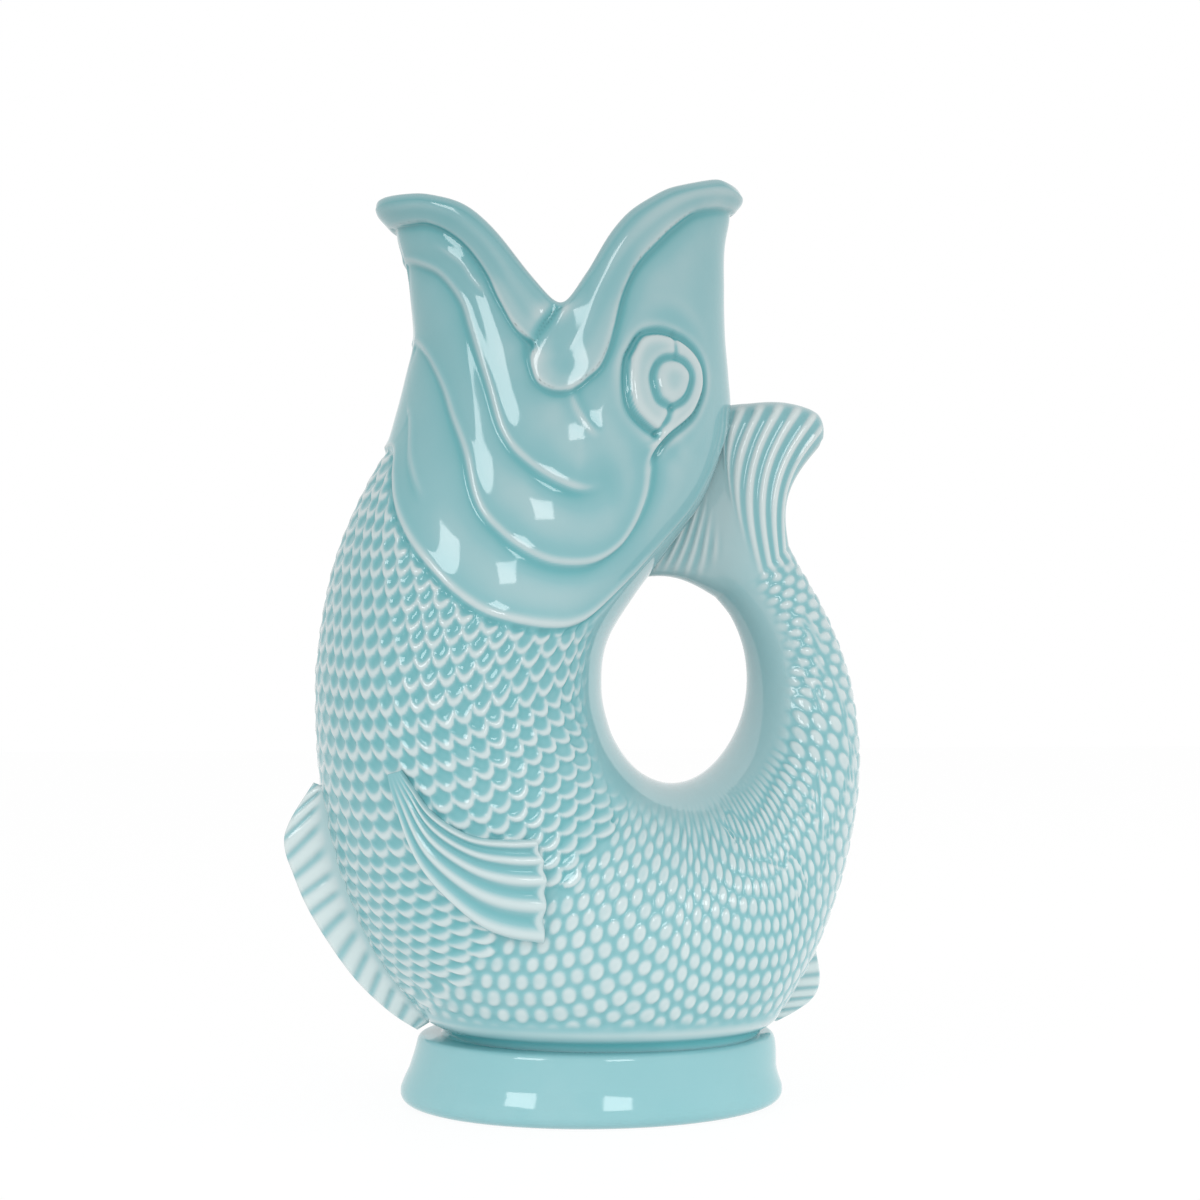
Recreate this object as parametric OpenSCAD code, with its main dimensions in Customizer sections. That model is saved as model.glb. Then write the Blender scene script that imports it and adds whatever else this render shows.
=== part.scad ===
// A gurgle jug: a glazed fish that stands on its foot with its mouth open.
// Its tail curls up behind the head as a hollow handle. The tail is open to
// the body at its lower end and closed at the top, so pouring draws air
// through it and the jug gurgles.
// +Z is up, the pouring lip is towards -X, the tail is towards +X.

/* [Fish] */
// Height from the table to the upper lip
jug_h = 240; // [220:1:262]
// Length from the belly to the back of the tail
body_l = 145; // [136:1:158]
// Width across the flanks
body_w = 102; // [94:1:112]
// Thickness of the cast wall
wall = 4.5; // [3.5:0.1:5.5]
// Thickness of the floor inside the body
floor_t = 5; // [4:0.1:7]
// How deep the luted pieces are pressed into the wall
lute = 1; // [0.6:0.1:1.6]

/* [Handle] */
// Width of the finger hole between the back and the tail
hole_w = 40; // [36:0.5:44]
// Height of the finger hole
hole_h = 53; // [48:0.5:59]
// Thickness of the tail fin at its free edge
fluke_t = 14; // [10:0.5:18]
// How far the ridges of the tail fin stand up
fluke_ridge_h = 0.8; // [0.3:0.1:1.4]
// Ridges on each side of the tail fin
fluke_ridges = 12; // [8:1:14]

/* [Mouth and gills] */
// How far the lips stand proud of the head
lip_h = 1.8; // [1:0.1:2.6]
// How far the gill cover's edge stands proud of the scales
gill_step = 1.8; // [1:0.1:2.6]
// How far the eye stands proud of the head
eye_h = 2.2; // [1.4:0.1:3]

/* [Fins] */
// Thickness of the belly fin and the small fin under the tail
fin_t = 5; // [4:0.1:6.5]
// How far the side fins stand proud of the flanks
side_fin_h = 3; // [2:0.1:4]
// Ribs on the belly fin
belly_fin_ribs = 15; // [10:1:18]
// Ribs on the small fin under the tail
anal_fin_ribs = 7; // [5:1:9]
// Ribs on a side fin
side_fin_ribs = 5; // [4:1:6]

/* [Foot] */
// Length of the oval foot
foot_l = 100.5; // [92:0.5:110]
// Width of the oval foot
foot_w = 86.5; // [79:0.5:95]
// Height of the foot
foot_h = 18; // [15:0.5:21]
// How far the foot swells beyond its groove
foot_bulge = 5.5; // [4:0.1:7]
// Width of the ring that stands on the table
foot_ring_w = 6; // [4:0.1:8]

/* [Hidden] */

GLAZE = "#96c8cb";
GLAZE_PALE = "#b4d6d6";
GLAZE_DEEP = "#7fb9be";

// Facets round a shell, and rows along it outside and inside
cols = 36;
head_rows = 15;
body_rows = 24;
tail_rows = 11;
inner_rows = 9;

// The fish is a row of oval sections, called stations, from the mouth to the
// tail fin. On the head and neck each station gives front x, front z, back x,
// back z and half width, as shares of body_l, jug_h and body_w.
neck_shares = [
    [-0.390, 1.014, 0.324, 1.022, 0.235],
    [-0.364, 0.977, 0.304, 0.988, 0.260],
    [-0.328, 0.935, 0.279, 0.940, 0.275],
    [-0.304, 0.886, 0.276, 0.886, 0.285],
    [-0.297, 0.843, 0.277, 0.836, 0.304],
    [-0.305, 0.798, 0.282, 0.793, 0.328],
    [-0.321, 0.752, 0.284, 0.752, 0.353],
    [-0.349, 0.703, 0.269, 0.709, 0.373],
    [-0.396, 0.648, 0.234, 0.656, 0.387],
    [-0.433, 0.591, 0.177, 0.607, 0.407]];
// Round the finger hole a station gives outer x, outer z, the angle of its
// inner end on the hole's oval, and half width.
curl_shares = [
    [-0.454, 0.536, 125, 0.426],
    [-0.468, 0.470, 158, 0.456],
    [-0.468, 0.404, 184, 0.480],
    [-0.457, 0.328, 205, 0.495],
    [-0.421, 0.240, 219, 0.500],
    [-0.348, 0.148, 233, 0.500],
    [-0.229, 0.071, 246, 0.495],
    [-0.055, 0.024, 260, 0.485],
    [0.138, 0.019, 273, 0.470],
    [0.308, 0.061, 287, 0.446],
    [0.409, 0.137, 301, 0.407],
    [0.476, 0.230, 315, 0.358],
    [0.512, 0.312, 329, 0.299],
    [0.524, 0.383, 344, 0.240],
    [0.512, 0.453, 361, 0.196],
    [0.482, 0.512, 380, 0.167],
    [0.437, 0.566, 399, 0.142],
    [0.394, 0.609, 416, 0.127]];
hole_x_share = 0.183;
hole_z_share = 0.458;
hole_x = body_l*hole_x_share;
hole_z = jug_h*hole_z_share;
stations = concat(
    [for (s = neck_shares) [body_l*s[0], jug_h*s[1], body_l*s[2], jug_h*s[3], body_w*s[4]]],
    [for (s = curl_shares) [body_l*s[0], jug_h*s[1], hole_x + hole_w/2*cos(s[2]),
        hole_z + hole_h/2*sin(s[2]), body_w*s[3]]]);
tail_start_share = 21;
tail_end_share = len(stations) - 1;

// Curves across the fish pair the share of the way from the front (-1) to the
// back (1) with a place along the stations.
rim_shares = [[-1, 1], [-0.81, 1.1], [-0.68, 1.32], [-0.61, 1.5], [-0.5, 2.1], [-0.36, 2.95],
    [-0.21, 3.7], [-0.15, 3.8], [-0.06, 3.35], [0.16, 2.35], [0.33, 1.65], [0.55, 1.05],
    [0.83, 0.65], [1, 0.8]];
gill_shares = [[-1, 6.9], [-0.96, 7], [-0.9, 7.55], [-0.78, 8.3], [-0.61, 9], [-0.37, 9.7],
    [-0.11, 10.2], [0.14, 10.45], [0.4, 10.6], [0.56, 10.6], [0.68, 10.4], [0.78, 9.85],
    [0.83, 9.35], [0.89, 8.5], [0.92, 7.65], [0.96, 6.9], [1, 6.05]];
lower_lip_shares = [[-1, 1.75], [-0.88, 1.8], [-0.74, 2.15], [-0.61, 2.7], [-0.55, 3.4],
    [-0.48, 4.05], [-0.39, 4.55], [-0.3, 4.75]];
upper_lip_top_shares = [[-0.34, 4.75], [-0.31, 4.4], [-0.26, 4.2], [-0.2, 3.95], [-0.15, 3.85],
    [-0.06, 3.35], [0.16, 2.35], [0.33, 1.65], [0.55, 1.05], [0.83, 0.65], [1, 0.8]];
upper_lip_low_shares = [[-0.34, 5.1], [-0.31, 5.4], [-0.21, 5.8], [-0.1, 5.8], [0, 5.4],
    [0.11, 4.75], [0.19, 4.15], [0.25, 3.3], [0.34, 2.8], [0.5, 2.15], [0.65, 1.7],
    [0.89, 1.45], [1, 1.45]];

// Smooth curve through the rows of a table, at place t counted in rows
function along(table, t) =
    let (n = len(table))
    let (i = min(max(floor(t), 0), n - 2))
    let (f = t - i)
    let (p0 = table[max(i - 1, 0)])
    let (p1 = table[i])
    let (p2 = table[i + 1])
    let (p3 = table[min(i + 2, n - 1)])
    p1 + 0.5*f*((p2 - p0) + f*((2*p0 - 5*p1 + 4*p2 - p3) + f*(3*(p1 - p2) + p3 - p0)));

function mix(a, b, f) = a + (b - a)*f;

// Point of the fish at station t, turned a degrees from the belly line, and
// pushed out of the outer surface by off
function fish(t, a, off = 0) =
    let (s = along(stations, t))
    let (front = [s[0], s[1]])
    let (back = [s[2], s[3]])
    let (half = norm(back - front)/2)
    let (p = (front + back)/2 - (back - front)/(2*half)*(half + off)*cos(a))
    [p[0], (s[4] + off)*sin(a), p[1]];

function above(p, z) = [p[0], p[1], max(p[2], z)];

// Share of the way from the front to the back at angle a, and its inverse
function way(a) = -cos(a);
function turn(share) = acos(-share);

function rim(a) = lookup(way(a), rim_shares);
function gill(a) = lookup(way(a), gill_shares);

function ring_angles(n) = [for (j = [0:n - 1]) 360*j/n];
function flat(grid) = [for (row = grid) each row];

// Faces between neighbouring rings of n rows and m points
function ring_faces(n, m, wrap) = [for (i = [0:n - (wrap ? 1 : 2)]) for (j = [0:m - 1])
    let (a = i*m + j)
    let (b = i*m + (j + 1)%m)
    let (c = ((i + 1)%n)*m + (j + 1)%m)
    let (d = ((i + 1)%n)*m + j)
    each [[a, b, c], [a, c, d]]];

// Tube with a wall: the rings run down the inside and back up the outside
module walled_tube(rings)
    polyhedron(flat(rings), ring_faces(len(rings), len(rings[0]), true), convexity = 6);

// Faces that close a ring of m points, the first of them point k, from side
// to side
function lid_faces(m, k) =
    let (h = m/2)
    concat([[k, k + 1, k + m - 1], [k + h - 1, k + h, k + h + 1]],
        [for (j = [1:h - 2]) each [[k + j, k + j + 1, k + m - j],
            [k + j + 1, k + m - j - 1, k + m - j]]]);

function turned(faces) = [for (f = faces) [f[0], f[2], f[1]]];

// Stack of rings, closed over both ends
module stacked(rings) {
    n = len(rings);
    m = len(rings[0]);
    polyhedron(flat(rings), concat(ring_faces(n, m, false), turned(lid_faces(m, 0)),
        lid_faces(m, (n - 1)*m)), convexity = 6);
}

// Sheet between an upper and a lower grid of the same size, each of its rows
// a ring that runs over the top and back under the base
module sheet(upper, lower) {
    n = len(upper);
    m = len(upper[0]);
    rings = [for (i = [0:n - 1]) concat(upper[i], [for (j = [m - 1:-1:0]) lower[i][j]])];
    k = 2*m;
    last = (n - 1)*k;
    ends = [for (j = [0:m - 2]) each [
        [j, k - 1 - j, j + 1],
        [j + 1, k - 1 - j, k - 2 - j],
        [last + j, last + j + 1, last + k - 1 - j],
        [last + j + 1, last + k - 2 - j, last + k - 1 - j]]];
    polyhedron(flat(rings), concat(ring_faces(n, k, false), ends), convexity = 8);
}

// Rows of a shell between two curves, at depth off
function shell_rows(from, to, rows, off) = [for (i = [0:rows])
    [for (j = [0:cols - 1]) fish(mix(from[j], to[j], i/rows), 360*j/cols, off)]];

function lifted(grid, z) = [for (row = grid) [for (p = row) above(p, z)]];
function backwards(list) = [for (i = [len(list) - 1:-1:0]) list[i]];

rim_line = [for (a = ring_angles(cols)) rim(a)];
gill_line = [for (a = ring_angles(cols)) gill(a)];
tail_start_line = [for (a = ring_angles(cols)) tail_start_share];
tail_end_line = [for (a = ring_angles(cols)) tail_end_share];

// The mouth's rim is rounded over this share of the wall
rim_round_share = 0.25;
rim_drop_share = 0.12;

// The gill cover's proud edge fades up the head over this many stations, and
// towards the fish's back
gill_fade_share = 2.5;
gill_back_shares = [[0.8, 1], [1, 0.35]];
function gill_rise(t, a) = gill_step*lookup(way(a), gill_back_shares)
    *pow(max(0, 1 - (gill(a) - t)/gill_fade_share), 2);

module head_shell() {
    rim_in = [for (t = rim_line) t + rim_drop_share];
    outside = [for (i = [0:head_rows]) [for (j = [0:cols - 1])
        let (a = 360*j/cols)
        let (t = mix(rim_in[j], gill_line[j], i/head_rows))
        fish(t, a, gill_rise(t, a))]];
    rim_ring = [for (j = [0:cols - 1]) fish(rim_line[j], 360*j/cols, -wall*rim_round_share)];
    rim_inner = [for (j = [0:cols - 1])
        fish(rim_line[j], 360*j/cols, -wall*(1 - rim_round_share))];
    seat = [for (j = [0:cols - 1]) fish(gill_line[j], 360*j/cols)];
    inside = shell_rows(rim_in, gill_line, inner_rows, -wall);
    color(GLAZE)
        walled_tube(concat([rim_inner], inside, [seat], backwards(outside), [rim_ring]));
}

module body_shell() {
    outside = lifted(shell_rows(gill_line, tail_start_line, body_rows, 0), foot_h);
    inside = lifted(shell_rows(gill_line, tail_start_line, inner_rows + inner_rows, -wall),
        foot_h + floor_t);
    color(GLAZE_PALE)
        walled_tube(concat(inside, backwards(outside)));
}

module tail_handle() {
    outside = shell_rows(tail_start_line, tail_end_line, tail_rows, 0);
    inside = shell_rows(tail_start_line, tail_end_line, inner_rows, -wall);
    color(GLAZE_PALE)
        walled_tube(concat(inside, backwards(outside)));
}

// Lips, eyes and side fins are clay laid on the head and flanks and pressed
// in by lute. A lip is a rounded band with this many steps across it.
lip_across = 5;
lip_drop_share = 0.1;
lip_edge_share = 0.06;

module lip(top_shares, low_shares, angles) {
    function place(a, k) = mix(lookup(way(a), top_shares) + lip_drop_share,
        lookup(way(a), low_shares), k/lip_across);
    function swell(k) = sin(180*mix(lip_edge_share, 1 - lip_edge_share, k/lip_across));
    upper = [for (a = angles) [for (k = [0:lip_across]) fish(place(a, k), a, lip_h*swell(k))]];
    lower = [for (a = angles) [for (k = [0:lip_across]) fish(place(a, k), a, -lute)]];
    color(GLAZE_PALE)
        sheet(upper, lower);
}

lower_lip_end_share = -0.3;
upper_lip_end_share = -0.34;
lower_lip_cols = 28;
upper_lip_cols = 44;

module lower_lip() {
    end = turn(lower_lip_end_share);
    lip(rim_shares, lower_lip_shares,
        [for (i = [0:lower_lip_cols]) mix(-end, end, i/lower_lip_cols)]);
}

module upper_lip() {
    end = turn(upper_lip_end_share);
    lip(upper_lip_top_shares, upper_lip_low_shares,
        [for (i = [0:upper_lip_cols]) mix(end, 360 - end, i/upper_lip_cols)]);
}

// The eye is an oval ring round a domed pupil: share of its radius, share of
// its height. It reaches eye_reach_share stations along the head and
// eye_turn_angle degrees round it.
eye_shares = [[1, 0.1], [0.9, 0.62], [0.72, 0.75], [0.55, 0.5], [0.46, 0.25],
    [0.36, 0.75], [0.2, 0.97], [0.06, 1]];
eye_station_share = 5.45;
eye_way_share = 0.49;
eye_reach_share = 1.35;
eye_turn_angle = 18.5;
eye_cols = 22;

module eye() {
    function place(r, f, off) = fish(eye_station_share + r*eye_reach_share*cos(f),
        turn(eye_way_share) + r*eye_turn_angle*sin(f), off);
    base = [for (f = ring_angles(eye_cols)) place(1, f, -lute)];
    rings = [for (s = eye_shares) [for (f = ring_angles(eye_cols)) place(s[0], f, s[1]*eye_h)]];
    color(GLAZE_DEEP)
        stacked(concat([base], rings));
}

module left_eye() eye();
module right_eye() mirror([0, 1, 0]) eye();

// Upper and lower edges of a side fin, from its root to its tip: stations, and
// share of the way from the belly to the back. Its tip bows out by
// side_fin_bow_angle degrees, and its ribs grow from the root.
side_fin_top_shares = [[12.65, -0.61], [12.95, -0.48], [13.3, -0.41], [13.65, -0.31],
    [14.1, -0.18], [14.5, 0.07]];
side_fin_low_shares = [[12.85, -0.62], [13.6, -0.57], [14.2, -0.52], [14.8, -0.42],
    [15.25, -0.32], [15.7, -0.17]];
side_fin_groove_share = 0.45;
side_fin_edge_share = 0.4;
side_fin_bow_angle = 5;
side_fin_rows = 7;
side_fin_steps = 4;

module side_fin() {
    n = side_fin_ribs*side_fin_steps;
    last = len(side_fin_top_shares) - 1;
    function place(u, v, off) =
        let (p = mix(along(side_fin_top_shares, u*last), along(side_fin_low_shares, u*last), v))
        fish(p[0], turn(p[1]) + side_fin_bow_angle*u*sin(180*v), off);
    function groove(v) = side_fin_groove_share*(1 - cos(360*side_fin_ribs*v))/2;
    function rise(u, v) = (v == 0 || v == 1 || u == 1) ? side_fin_edge_share
        : side_fin_edge_share + (1 - side_fin_edge_share)*sqrt(u) - groove(v);
    upper = [for (i = [0:side_fin_rows]) [for (k = [0:n])
        place(i/side_fin_rows, k/n, side_fin_h*rise(i/side_fin_rows, k/n))]];
    lower = [for (i = [0:side_fin_rows]) [for (k = [0:n])
        place(i/side_fin_rows, k/n, -lute)]];
    color(GLAZE_PALE)
        sheet(upper, lower);
}

module left_side_fin() side_fin();
module right_side_fin() mirror([0, 1, 0]) side_fin();

// The belly fin and the fin under the tail are thin plates in the middle
// plane. Their free edges are x and z shares of body_l and jug_h, and their
// roots run between two stations.
belly_fin_shares = [[-0.472, 0.350], [-0.523, 0.294], [-0.504, 0.245], [-0.467, 0.198],
    [-0.403, 0.141], [-0.340, 0.103], [-0.287, 0.081]];
belly_fin_root_shares = [12.8, 13.15, 13.8, 14.3, 14.8, 15.3, 15.75];
anal_fin_shares = [[0.376, 0.081], [0.437, 0.102], [0.457, 0.125], [0.450, 0.159], [0.442, 0.181]];
anal_fin_root_shares = [19.3, 19.55, 19.85, 20.2, 20.5];
fin_thin_share = 0.55;
fin_groove_share = 0.3;
fin_across = 3;
fin_rib_steps = 3;

module plate_fin(edge_shares, root_shares, ribs) {
    n = ribs*fin_rib_steps;
    last = len(edge_shares) - 1;
    function half(v, f) = fin_t/2*mix(1, fin_thin_share, f)
        *(1 - fin_groove_share*(1 - cos(360*ribs*v))/2);
    function place(v, f, side) =
        let (edge = along(edge_shares, v*last))
        let (root = fish(along(root_shares, v*last), 0, -lute))
        [mix(root[0], body_l*edge[0], f), side*half(v, f), mix(root[2], jug_h*edge[1], f)];
    grids = [for (side = [1, -1]) [for (i = [0:n]) [for (k = [0:fin_across])
        place(i/n, k/fin_across, side)]]];
    color(GLAZE_PALE)
        sheet(grids[0], grids[1]);
}

module belly_fin() plate_fin(belly_fin_shares, belly_fin_root_shares, belly_fin_ribs);
module anal_fin() plate_fin(anal_fin_shares, anal_fin_root_shares, anal_fin_ribs);

// The tail fin fans out from the end of the tail. Its free edge runs from the
// tip to the head, and the rest of it is pressed into the fish's back between
// two stations. Its outer side draws in by tail_fin_waist and its inner side
// rises by tail_fin_arch over the finger hole.
tail_fin_edge_shares = [[0.464, 0.729], [0.443, 0.751], [0.388, 0.761], [0.326, 0.760]];
tail_fin_seat_shares = [5.9, 6.85, 7.8, 8.7, 9.6];
tail_fin_row_shares = [0, 0.15, 0.3, 0.45, 0.6, 0.75, 0.87, 0.95, 1];
tail_fin_round_share = 0.14;
tail_fin_flat_share = 0.9;
tail_fin_full_share = 0.28;
tail_fin_waist = 5.2;
tail_fin_arch = 2.5;
tail_fin_steps = 3;
tail_fin_edge = concat([for (s = tail_fin_edge_shares) [body_l*s[0], jug_h*s[1]]],
    [for (s = tail_fin_seat_shares) let (p = fish(s, 180, -lute)) [p[0], p[2]]]);

module tail_fin() {
    n = fluke_ridges*tail_fin_steps;
    start = stations[tail_end_share];
    last = len(tail_fin_edge) - 1;
    function free_edge(v) = min(max((last/2 + 0.5 - v*last), 0), 1);
    function rounding(u) = sqrt(1 - pow(tail_fin_flat_share
        *max(0, (u - 1 + tail_fin_round_share)/tail_fin_round_share), 2));
    function half(u, v) = pow(4*v*(1 - v), mix(0.5, tail_fin_full_share, u))*mix(start[4], fluke_t/2, u)
        *mix(1, rounding(u), free_edge(v))
        + (v == 0 || v == 1 ? 0 : fluke_ridge_h*sin(90*min(1, 2*u))*cos(360*fluke_ridges*v)/2);
    function place(u, v, side) =
        let (from = mix([start[0], start[1]], [start[2], start[3]], v))
        let (p = mix(from, along(tail_fin_edge, v*last), u))
        [p[0] - tail_fin_waist*(1 - v)*sin(180*u), side*half(u, v),
            p[1] + tail_fin_arch*v*v*sin(180*u)];
    rings = [for (u = tail_fin_row_shares) concat(
        [for (k = [0:n]) place(u, k/n, -1)],
        [for (k = [n - 1:-1:1]) place(u, k/n, 1)])];
    color(GLAZE)
        stacked(rings);
}

// The foot is an oval ring. Its outside is a full round below a groove: share
// of the swell that it stands in by, share of its height.
foot_x_share = 0.031;
foot_round_shares = [[1, 0], [0.5, 0.06], [0.17, 0.18], [0, 0.36], [0.02, 0.5], [0.2, 0.68],
    [0.55, 0.82], [0.95, 0.91], [1, 1]];
foot_inner_lean = 2;
foot_cols = 44;

module foot_ring() {
    inner = foot_bulge + foot_ring_w;
    profile = concat([for (s = foot_round_shares) [foot_bulge*s[0], foot_h*s[1]]],
        [[inner + foot_inner_lean, foot_h], [inner, foot_h*foot_round_shares[2][1]], [inner, 0]]);
    rings = [for (a = ring_angles(foot_cols)) [for (p = profile)
        [body_l*foot_x_share + (foot_l/2 - p[0])*cos(a), (foot_w/2 - p[0])*sin(a), p[1]]]];
    color(GLAZE)
        walled_tube(rings);
}

head_shell();
body_shell();
tail_handle();
tail_fin();
foot_ring();
lower_lip();
upper_lip();
left_eye();
right_eye();
left_side_fin();
right_side_fin();
belly_fin();
anal_fin();
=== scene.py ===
import math

import bpy
import numpy as np
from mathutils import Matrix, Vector


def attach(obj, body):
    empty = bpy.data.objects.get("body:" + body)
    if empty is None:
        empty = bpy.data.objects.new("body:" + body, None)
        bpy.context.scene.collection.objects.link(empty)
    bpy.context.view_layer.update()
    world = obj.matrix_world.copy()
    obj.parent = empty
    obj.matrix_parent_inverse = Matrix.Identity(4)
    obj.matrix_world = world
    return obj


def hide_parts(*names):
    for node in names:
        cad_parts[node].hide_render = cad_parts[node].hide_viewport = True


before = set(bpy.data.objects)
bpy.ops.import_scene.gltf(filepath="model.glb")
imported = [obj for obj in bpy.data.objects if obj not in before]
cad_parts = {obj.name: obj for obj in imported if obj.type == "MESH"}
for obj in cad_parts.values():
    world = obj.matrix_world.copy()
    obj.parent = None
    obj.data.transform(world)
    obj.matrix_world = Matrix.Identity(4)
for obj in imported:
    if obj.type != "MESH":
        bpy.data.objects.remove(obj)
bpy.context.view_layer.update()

# The jug is a glazed fish. Its skin is a row of oval sections, called stations,
# as in the CAD model, and its carving is a height above that skin in
# millimetres. The glaze evens the carving out and is thick in the hollows.
MM = 0.001

# Driving sizes, in millimetres
JUG_H = 240.0
BODY_L = 145.0
BODY_W = 102.0
WALL = 4.5
FLOOR_T = 5.0
LUTE = 1.0
HOLE_W = 40.0
HOLE_H = 53.0
FLUKE_T = 14.0
LIP_RISE = 1.2
GILL_RISE = 0.9
EYE_RISE = 0.9
FIN_T = 4.8
SIDE_FIN_H = 2.65
FOOT_L = 100.4
FOOT_W = 86.4
FOOT_H = 18.0
FOOT_BULGE = 5.5
COLLAR_Z = 23.0
CHANNEL_Z = 19.6
FOOT_RING_W = 6.0
# The skin lies this far inside the CAD model's, so that the carving stays near it
SKIN_IN = -0.42

# Stations of the neck: front x, front z, back x, back z and half width, as
# shares of BODY_L, JUG_H and BODY_W
NECK_SHARES = [
    (-0.390, 1.014, 0.324, 1.022, 0.235), (-0.364, 0.977, 0.304, 0.988, 0.260),
    (-0.328, 0.935, 0.279, 0.940, 0.275), (-0.304, 0.886, 0.276, 0.886, 0.285),
    (-0.297, 0.843, 0.277, 0.836, 0.304), (-0.305, 0.798, 0.282, 0.793, 0.328),
    (-0.321, 0.752, 0.284, 0.752, 0.353), (-0.349, 0.703, 0.269, 0.709, 0.373),
    (-0.396, 0.648, 0.234, 0.656, 0.387), (-0.433, 0.591, 0.177, 0.607, 0.407)]
# Stations round the finger hole: outer x, outer z, angle of the inner end on
# the hole's oval, and half width
CURL_SHARES = [
    (-0.454, 0.536, 125, 0.426), (-0.468, 0.470, 158, 0.456), (-0.468, 0.404, 184, 0.480),
    (-0.457, 0.328, 205, 0.495), (-0.421, 0.240, 219, 0.500), (-0.348, 0.148, 233, 0.500),
    (-0.229, 0.071, 246, 0.495), (-0.055, 0.024, 260, 0.485), (0.138, 0.019, 273, 0.470),
    (0.308, 0.061, 287, 0.446), (0.409, 0.137, 301, 0.407), (0.476, 0.230, 315, 0.358),
    (0.512, 0.312, 329, 0.299), (0.524, 0.383, 344, 0.240), (0.512, 0.453, 361, 0.196),
    (0.482, 0.512, 380, 0.167), (0.437, 0.566, 399, 0.142), (0.394, 0.609, 416, 0.127)]
HOLE_X_SHARE = 0.183
HOLE_Z_SHARE = 0.458
TAIL_START = 21

# Curves across the fish pair the way from the front (-1) to the back (1) with a
# place along the stations
RIM_SHARES = [(-1, 1), (-0.81, 1.1), (-0.68, 1.32), (-0.61, 1.5), (-0.5, 2.1), (-0.36, 2.95),
              (-0.21, 3.7), (-0.15, 3.8), (-0.06, 3.35), (0.16, 2.35), (0.33, 1.65), (0.55, 1.05),
              (0.83, 0.65), (1, 0.8)]
GILL_SHARES = [(-1, 6.9), (-0.96, 7), (-0.9, 7.55), (-0.78, 8.3), (-0.61, 9), (-0.37, 9.7),
               (-0.11, 10.2), (0.14, 10.45), (0.4, 10.6), (0.56, 10.6), (0.68, 10.4),
               (0.78, 9.85), (0.83, 9.35), (0.89, 8.5), (0.92, 7.65), (0.96, 6.9), (1, 6.05)]
RIM_DROP_SHARE = 0.16
RIM_IN_SHARE = 0.012
RIM_SOFT_COLS = 3.0
GILL_SOFT_COLS = 4.0
# The far rim dips a little more at the corner of the mouth
RIM_FAR_SHARE = 0.3
RIM_FAR_FRONT_SHARES = (-0.32, -0.12)
RIM_FAR_BACK_SHARES = (0.6, 0.3)

# Carved lines of the head: place along the stations and way from front to back,
# each running from the front of the fish to its back
LOWER_LIP_SHARES = [(1.75, -1), (1.8, -0.93), (1.84, -0.84), (2.05, -0.75), (2.43, -0.66), (3, -0.58),
                    (3.58, -0.53), (4.23, -0.45), (4.58, -0.37), (4.78, -0.3)]
CHIN_FOLD_SHARES = [(2.3, -0.86), (2.49, -0.79), (2.8, -0.71), (3.11, -0.67), (3.41, -0.62),
                    (3.9, -0.56)]
UPPER_LIP_SHARES = [(3.86, -0.18), (4.35, -0.28), (4.67, -0.32), (5.03, -0.34), (5.39, -0.32),
                    (5.66, -0.28), (5.83, -0.2), (5.83, -0.12), (5.7, -0.06), (5.51, -0.01),
                    (5.23, 0.06), (4.8, 0.11), (4.15, 0.16), (3.45, 0.22), (2.83, 0.32), (2.26, 0.49),
                    (1.68, 0.67), (1.51, 0.76), (1.38, 0.92), (1.36, 1)]
FOLD_1_SHARES = [(2.48, -1), (2.51, -0.99), (2.65, -0.93), (2.96, -0.83), (3.61, -0.74), (4.28, -0.69),
                 (5.15, -0.61), (6.01, -0.52), (6.62, -0.44), (7.05, -0.345), (7.37, -0.225),
                 (7.65, -0.08), (7.86, 0.07), (7.92, 0.17), (7.85, 0.27)]
FOLD_2_SHARES = [(4.42, -1), (4.46, -0.98), (4.8, -0.92), (5.6, -0.81), (6.45, -0.7), (7.29, -0.55),
                 (8.21, -0.36), (8.75, -0.17), (9.12, 0.02), (9.34, 0.2), (9.4, 0.38), (9.32, 0.5),
                 (9.06, 0.57), (8.7, 0.58), (8.3, 0.56), (7.9, 0.53), (7.5, 0.49), (7.2, 0.48),
                 (6.9, 0.5), (6.6, 0.54)]
THROAT_FOLD_SHARES = [(6.2, -0.95), (6.26, -0.93), (7.24, -0.84), (8.18, -0.64)]
CORNER_FOLD_SHARES = [(5.75, -0.11), (6.19, -0.06), (6.53, 0), (6.78, 0.06), (6.98, 0.13)]

# Lines of the eye: its outline runs up out of the fold, round the eye and in again
EYE_LINE_SHARES = [(7.62, 0.51), (7.41, 0.5), (7.23, 0.51), (7.01, 0.53), (6.81, 0.57), (6.61, 0.62),
                   (6.36, 0.67), (6.06, 0.7), (5.66, 0.73), (5.31, 0.74), (4.99, 0.73), (4.7, 0.69),
                   (4.49, 0.63), (4.36, 0.56), (4.28, 0.45), (4.35, 0.35), (4.51, 0.3), (4.78, 0.26),
                   (5.05, 0.23), (5.58, 0.22), (6.05, 0.24), (6.39, 0.29), (6.68, 0.38), (6.85, 0.46)]
IRIS_SHARES = [(6.2, 0.51), (6, 0.58), (5.71, 0.62), (5.31, 0.64), (5.03, 0.6), (4.92, 0.53),
               (4.99, 0.45), (5.21, 0.4), (5.55, 0.38), (6.01, 0.42), (6.2, 0.51)]
EYE_TOP_LINE_SHARES = [(4.31, 0.54), (4.9, 0.54)]
EYE_LOW_LINE_SHARES = [(6.2, 0.51), (6.48, 0.5), (6.66, 0.48), (6.83, 0.46)]
RIM_LINE = [(place, share) for share, place in RIM_SHARES]
GILL_LINE = [(place, share) for share, place in GILL_SHARES]
TINY = 1e-9


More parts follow.
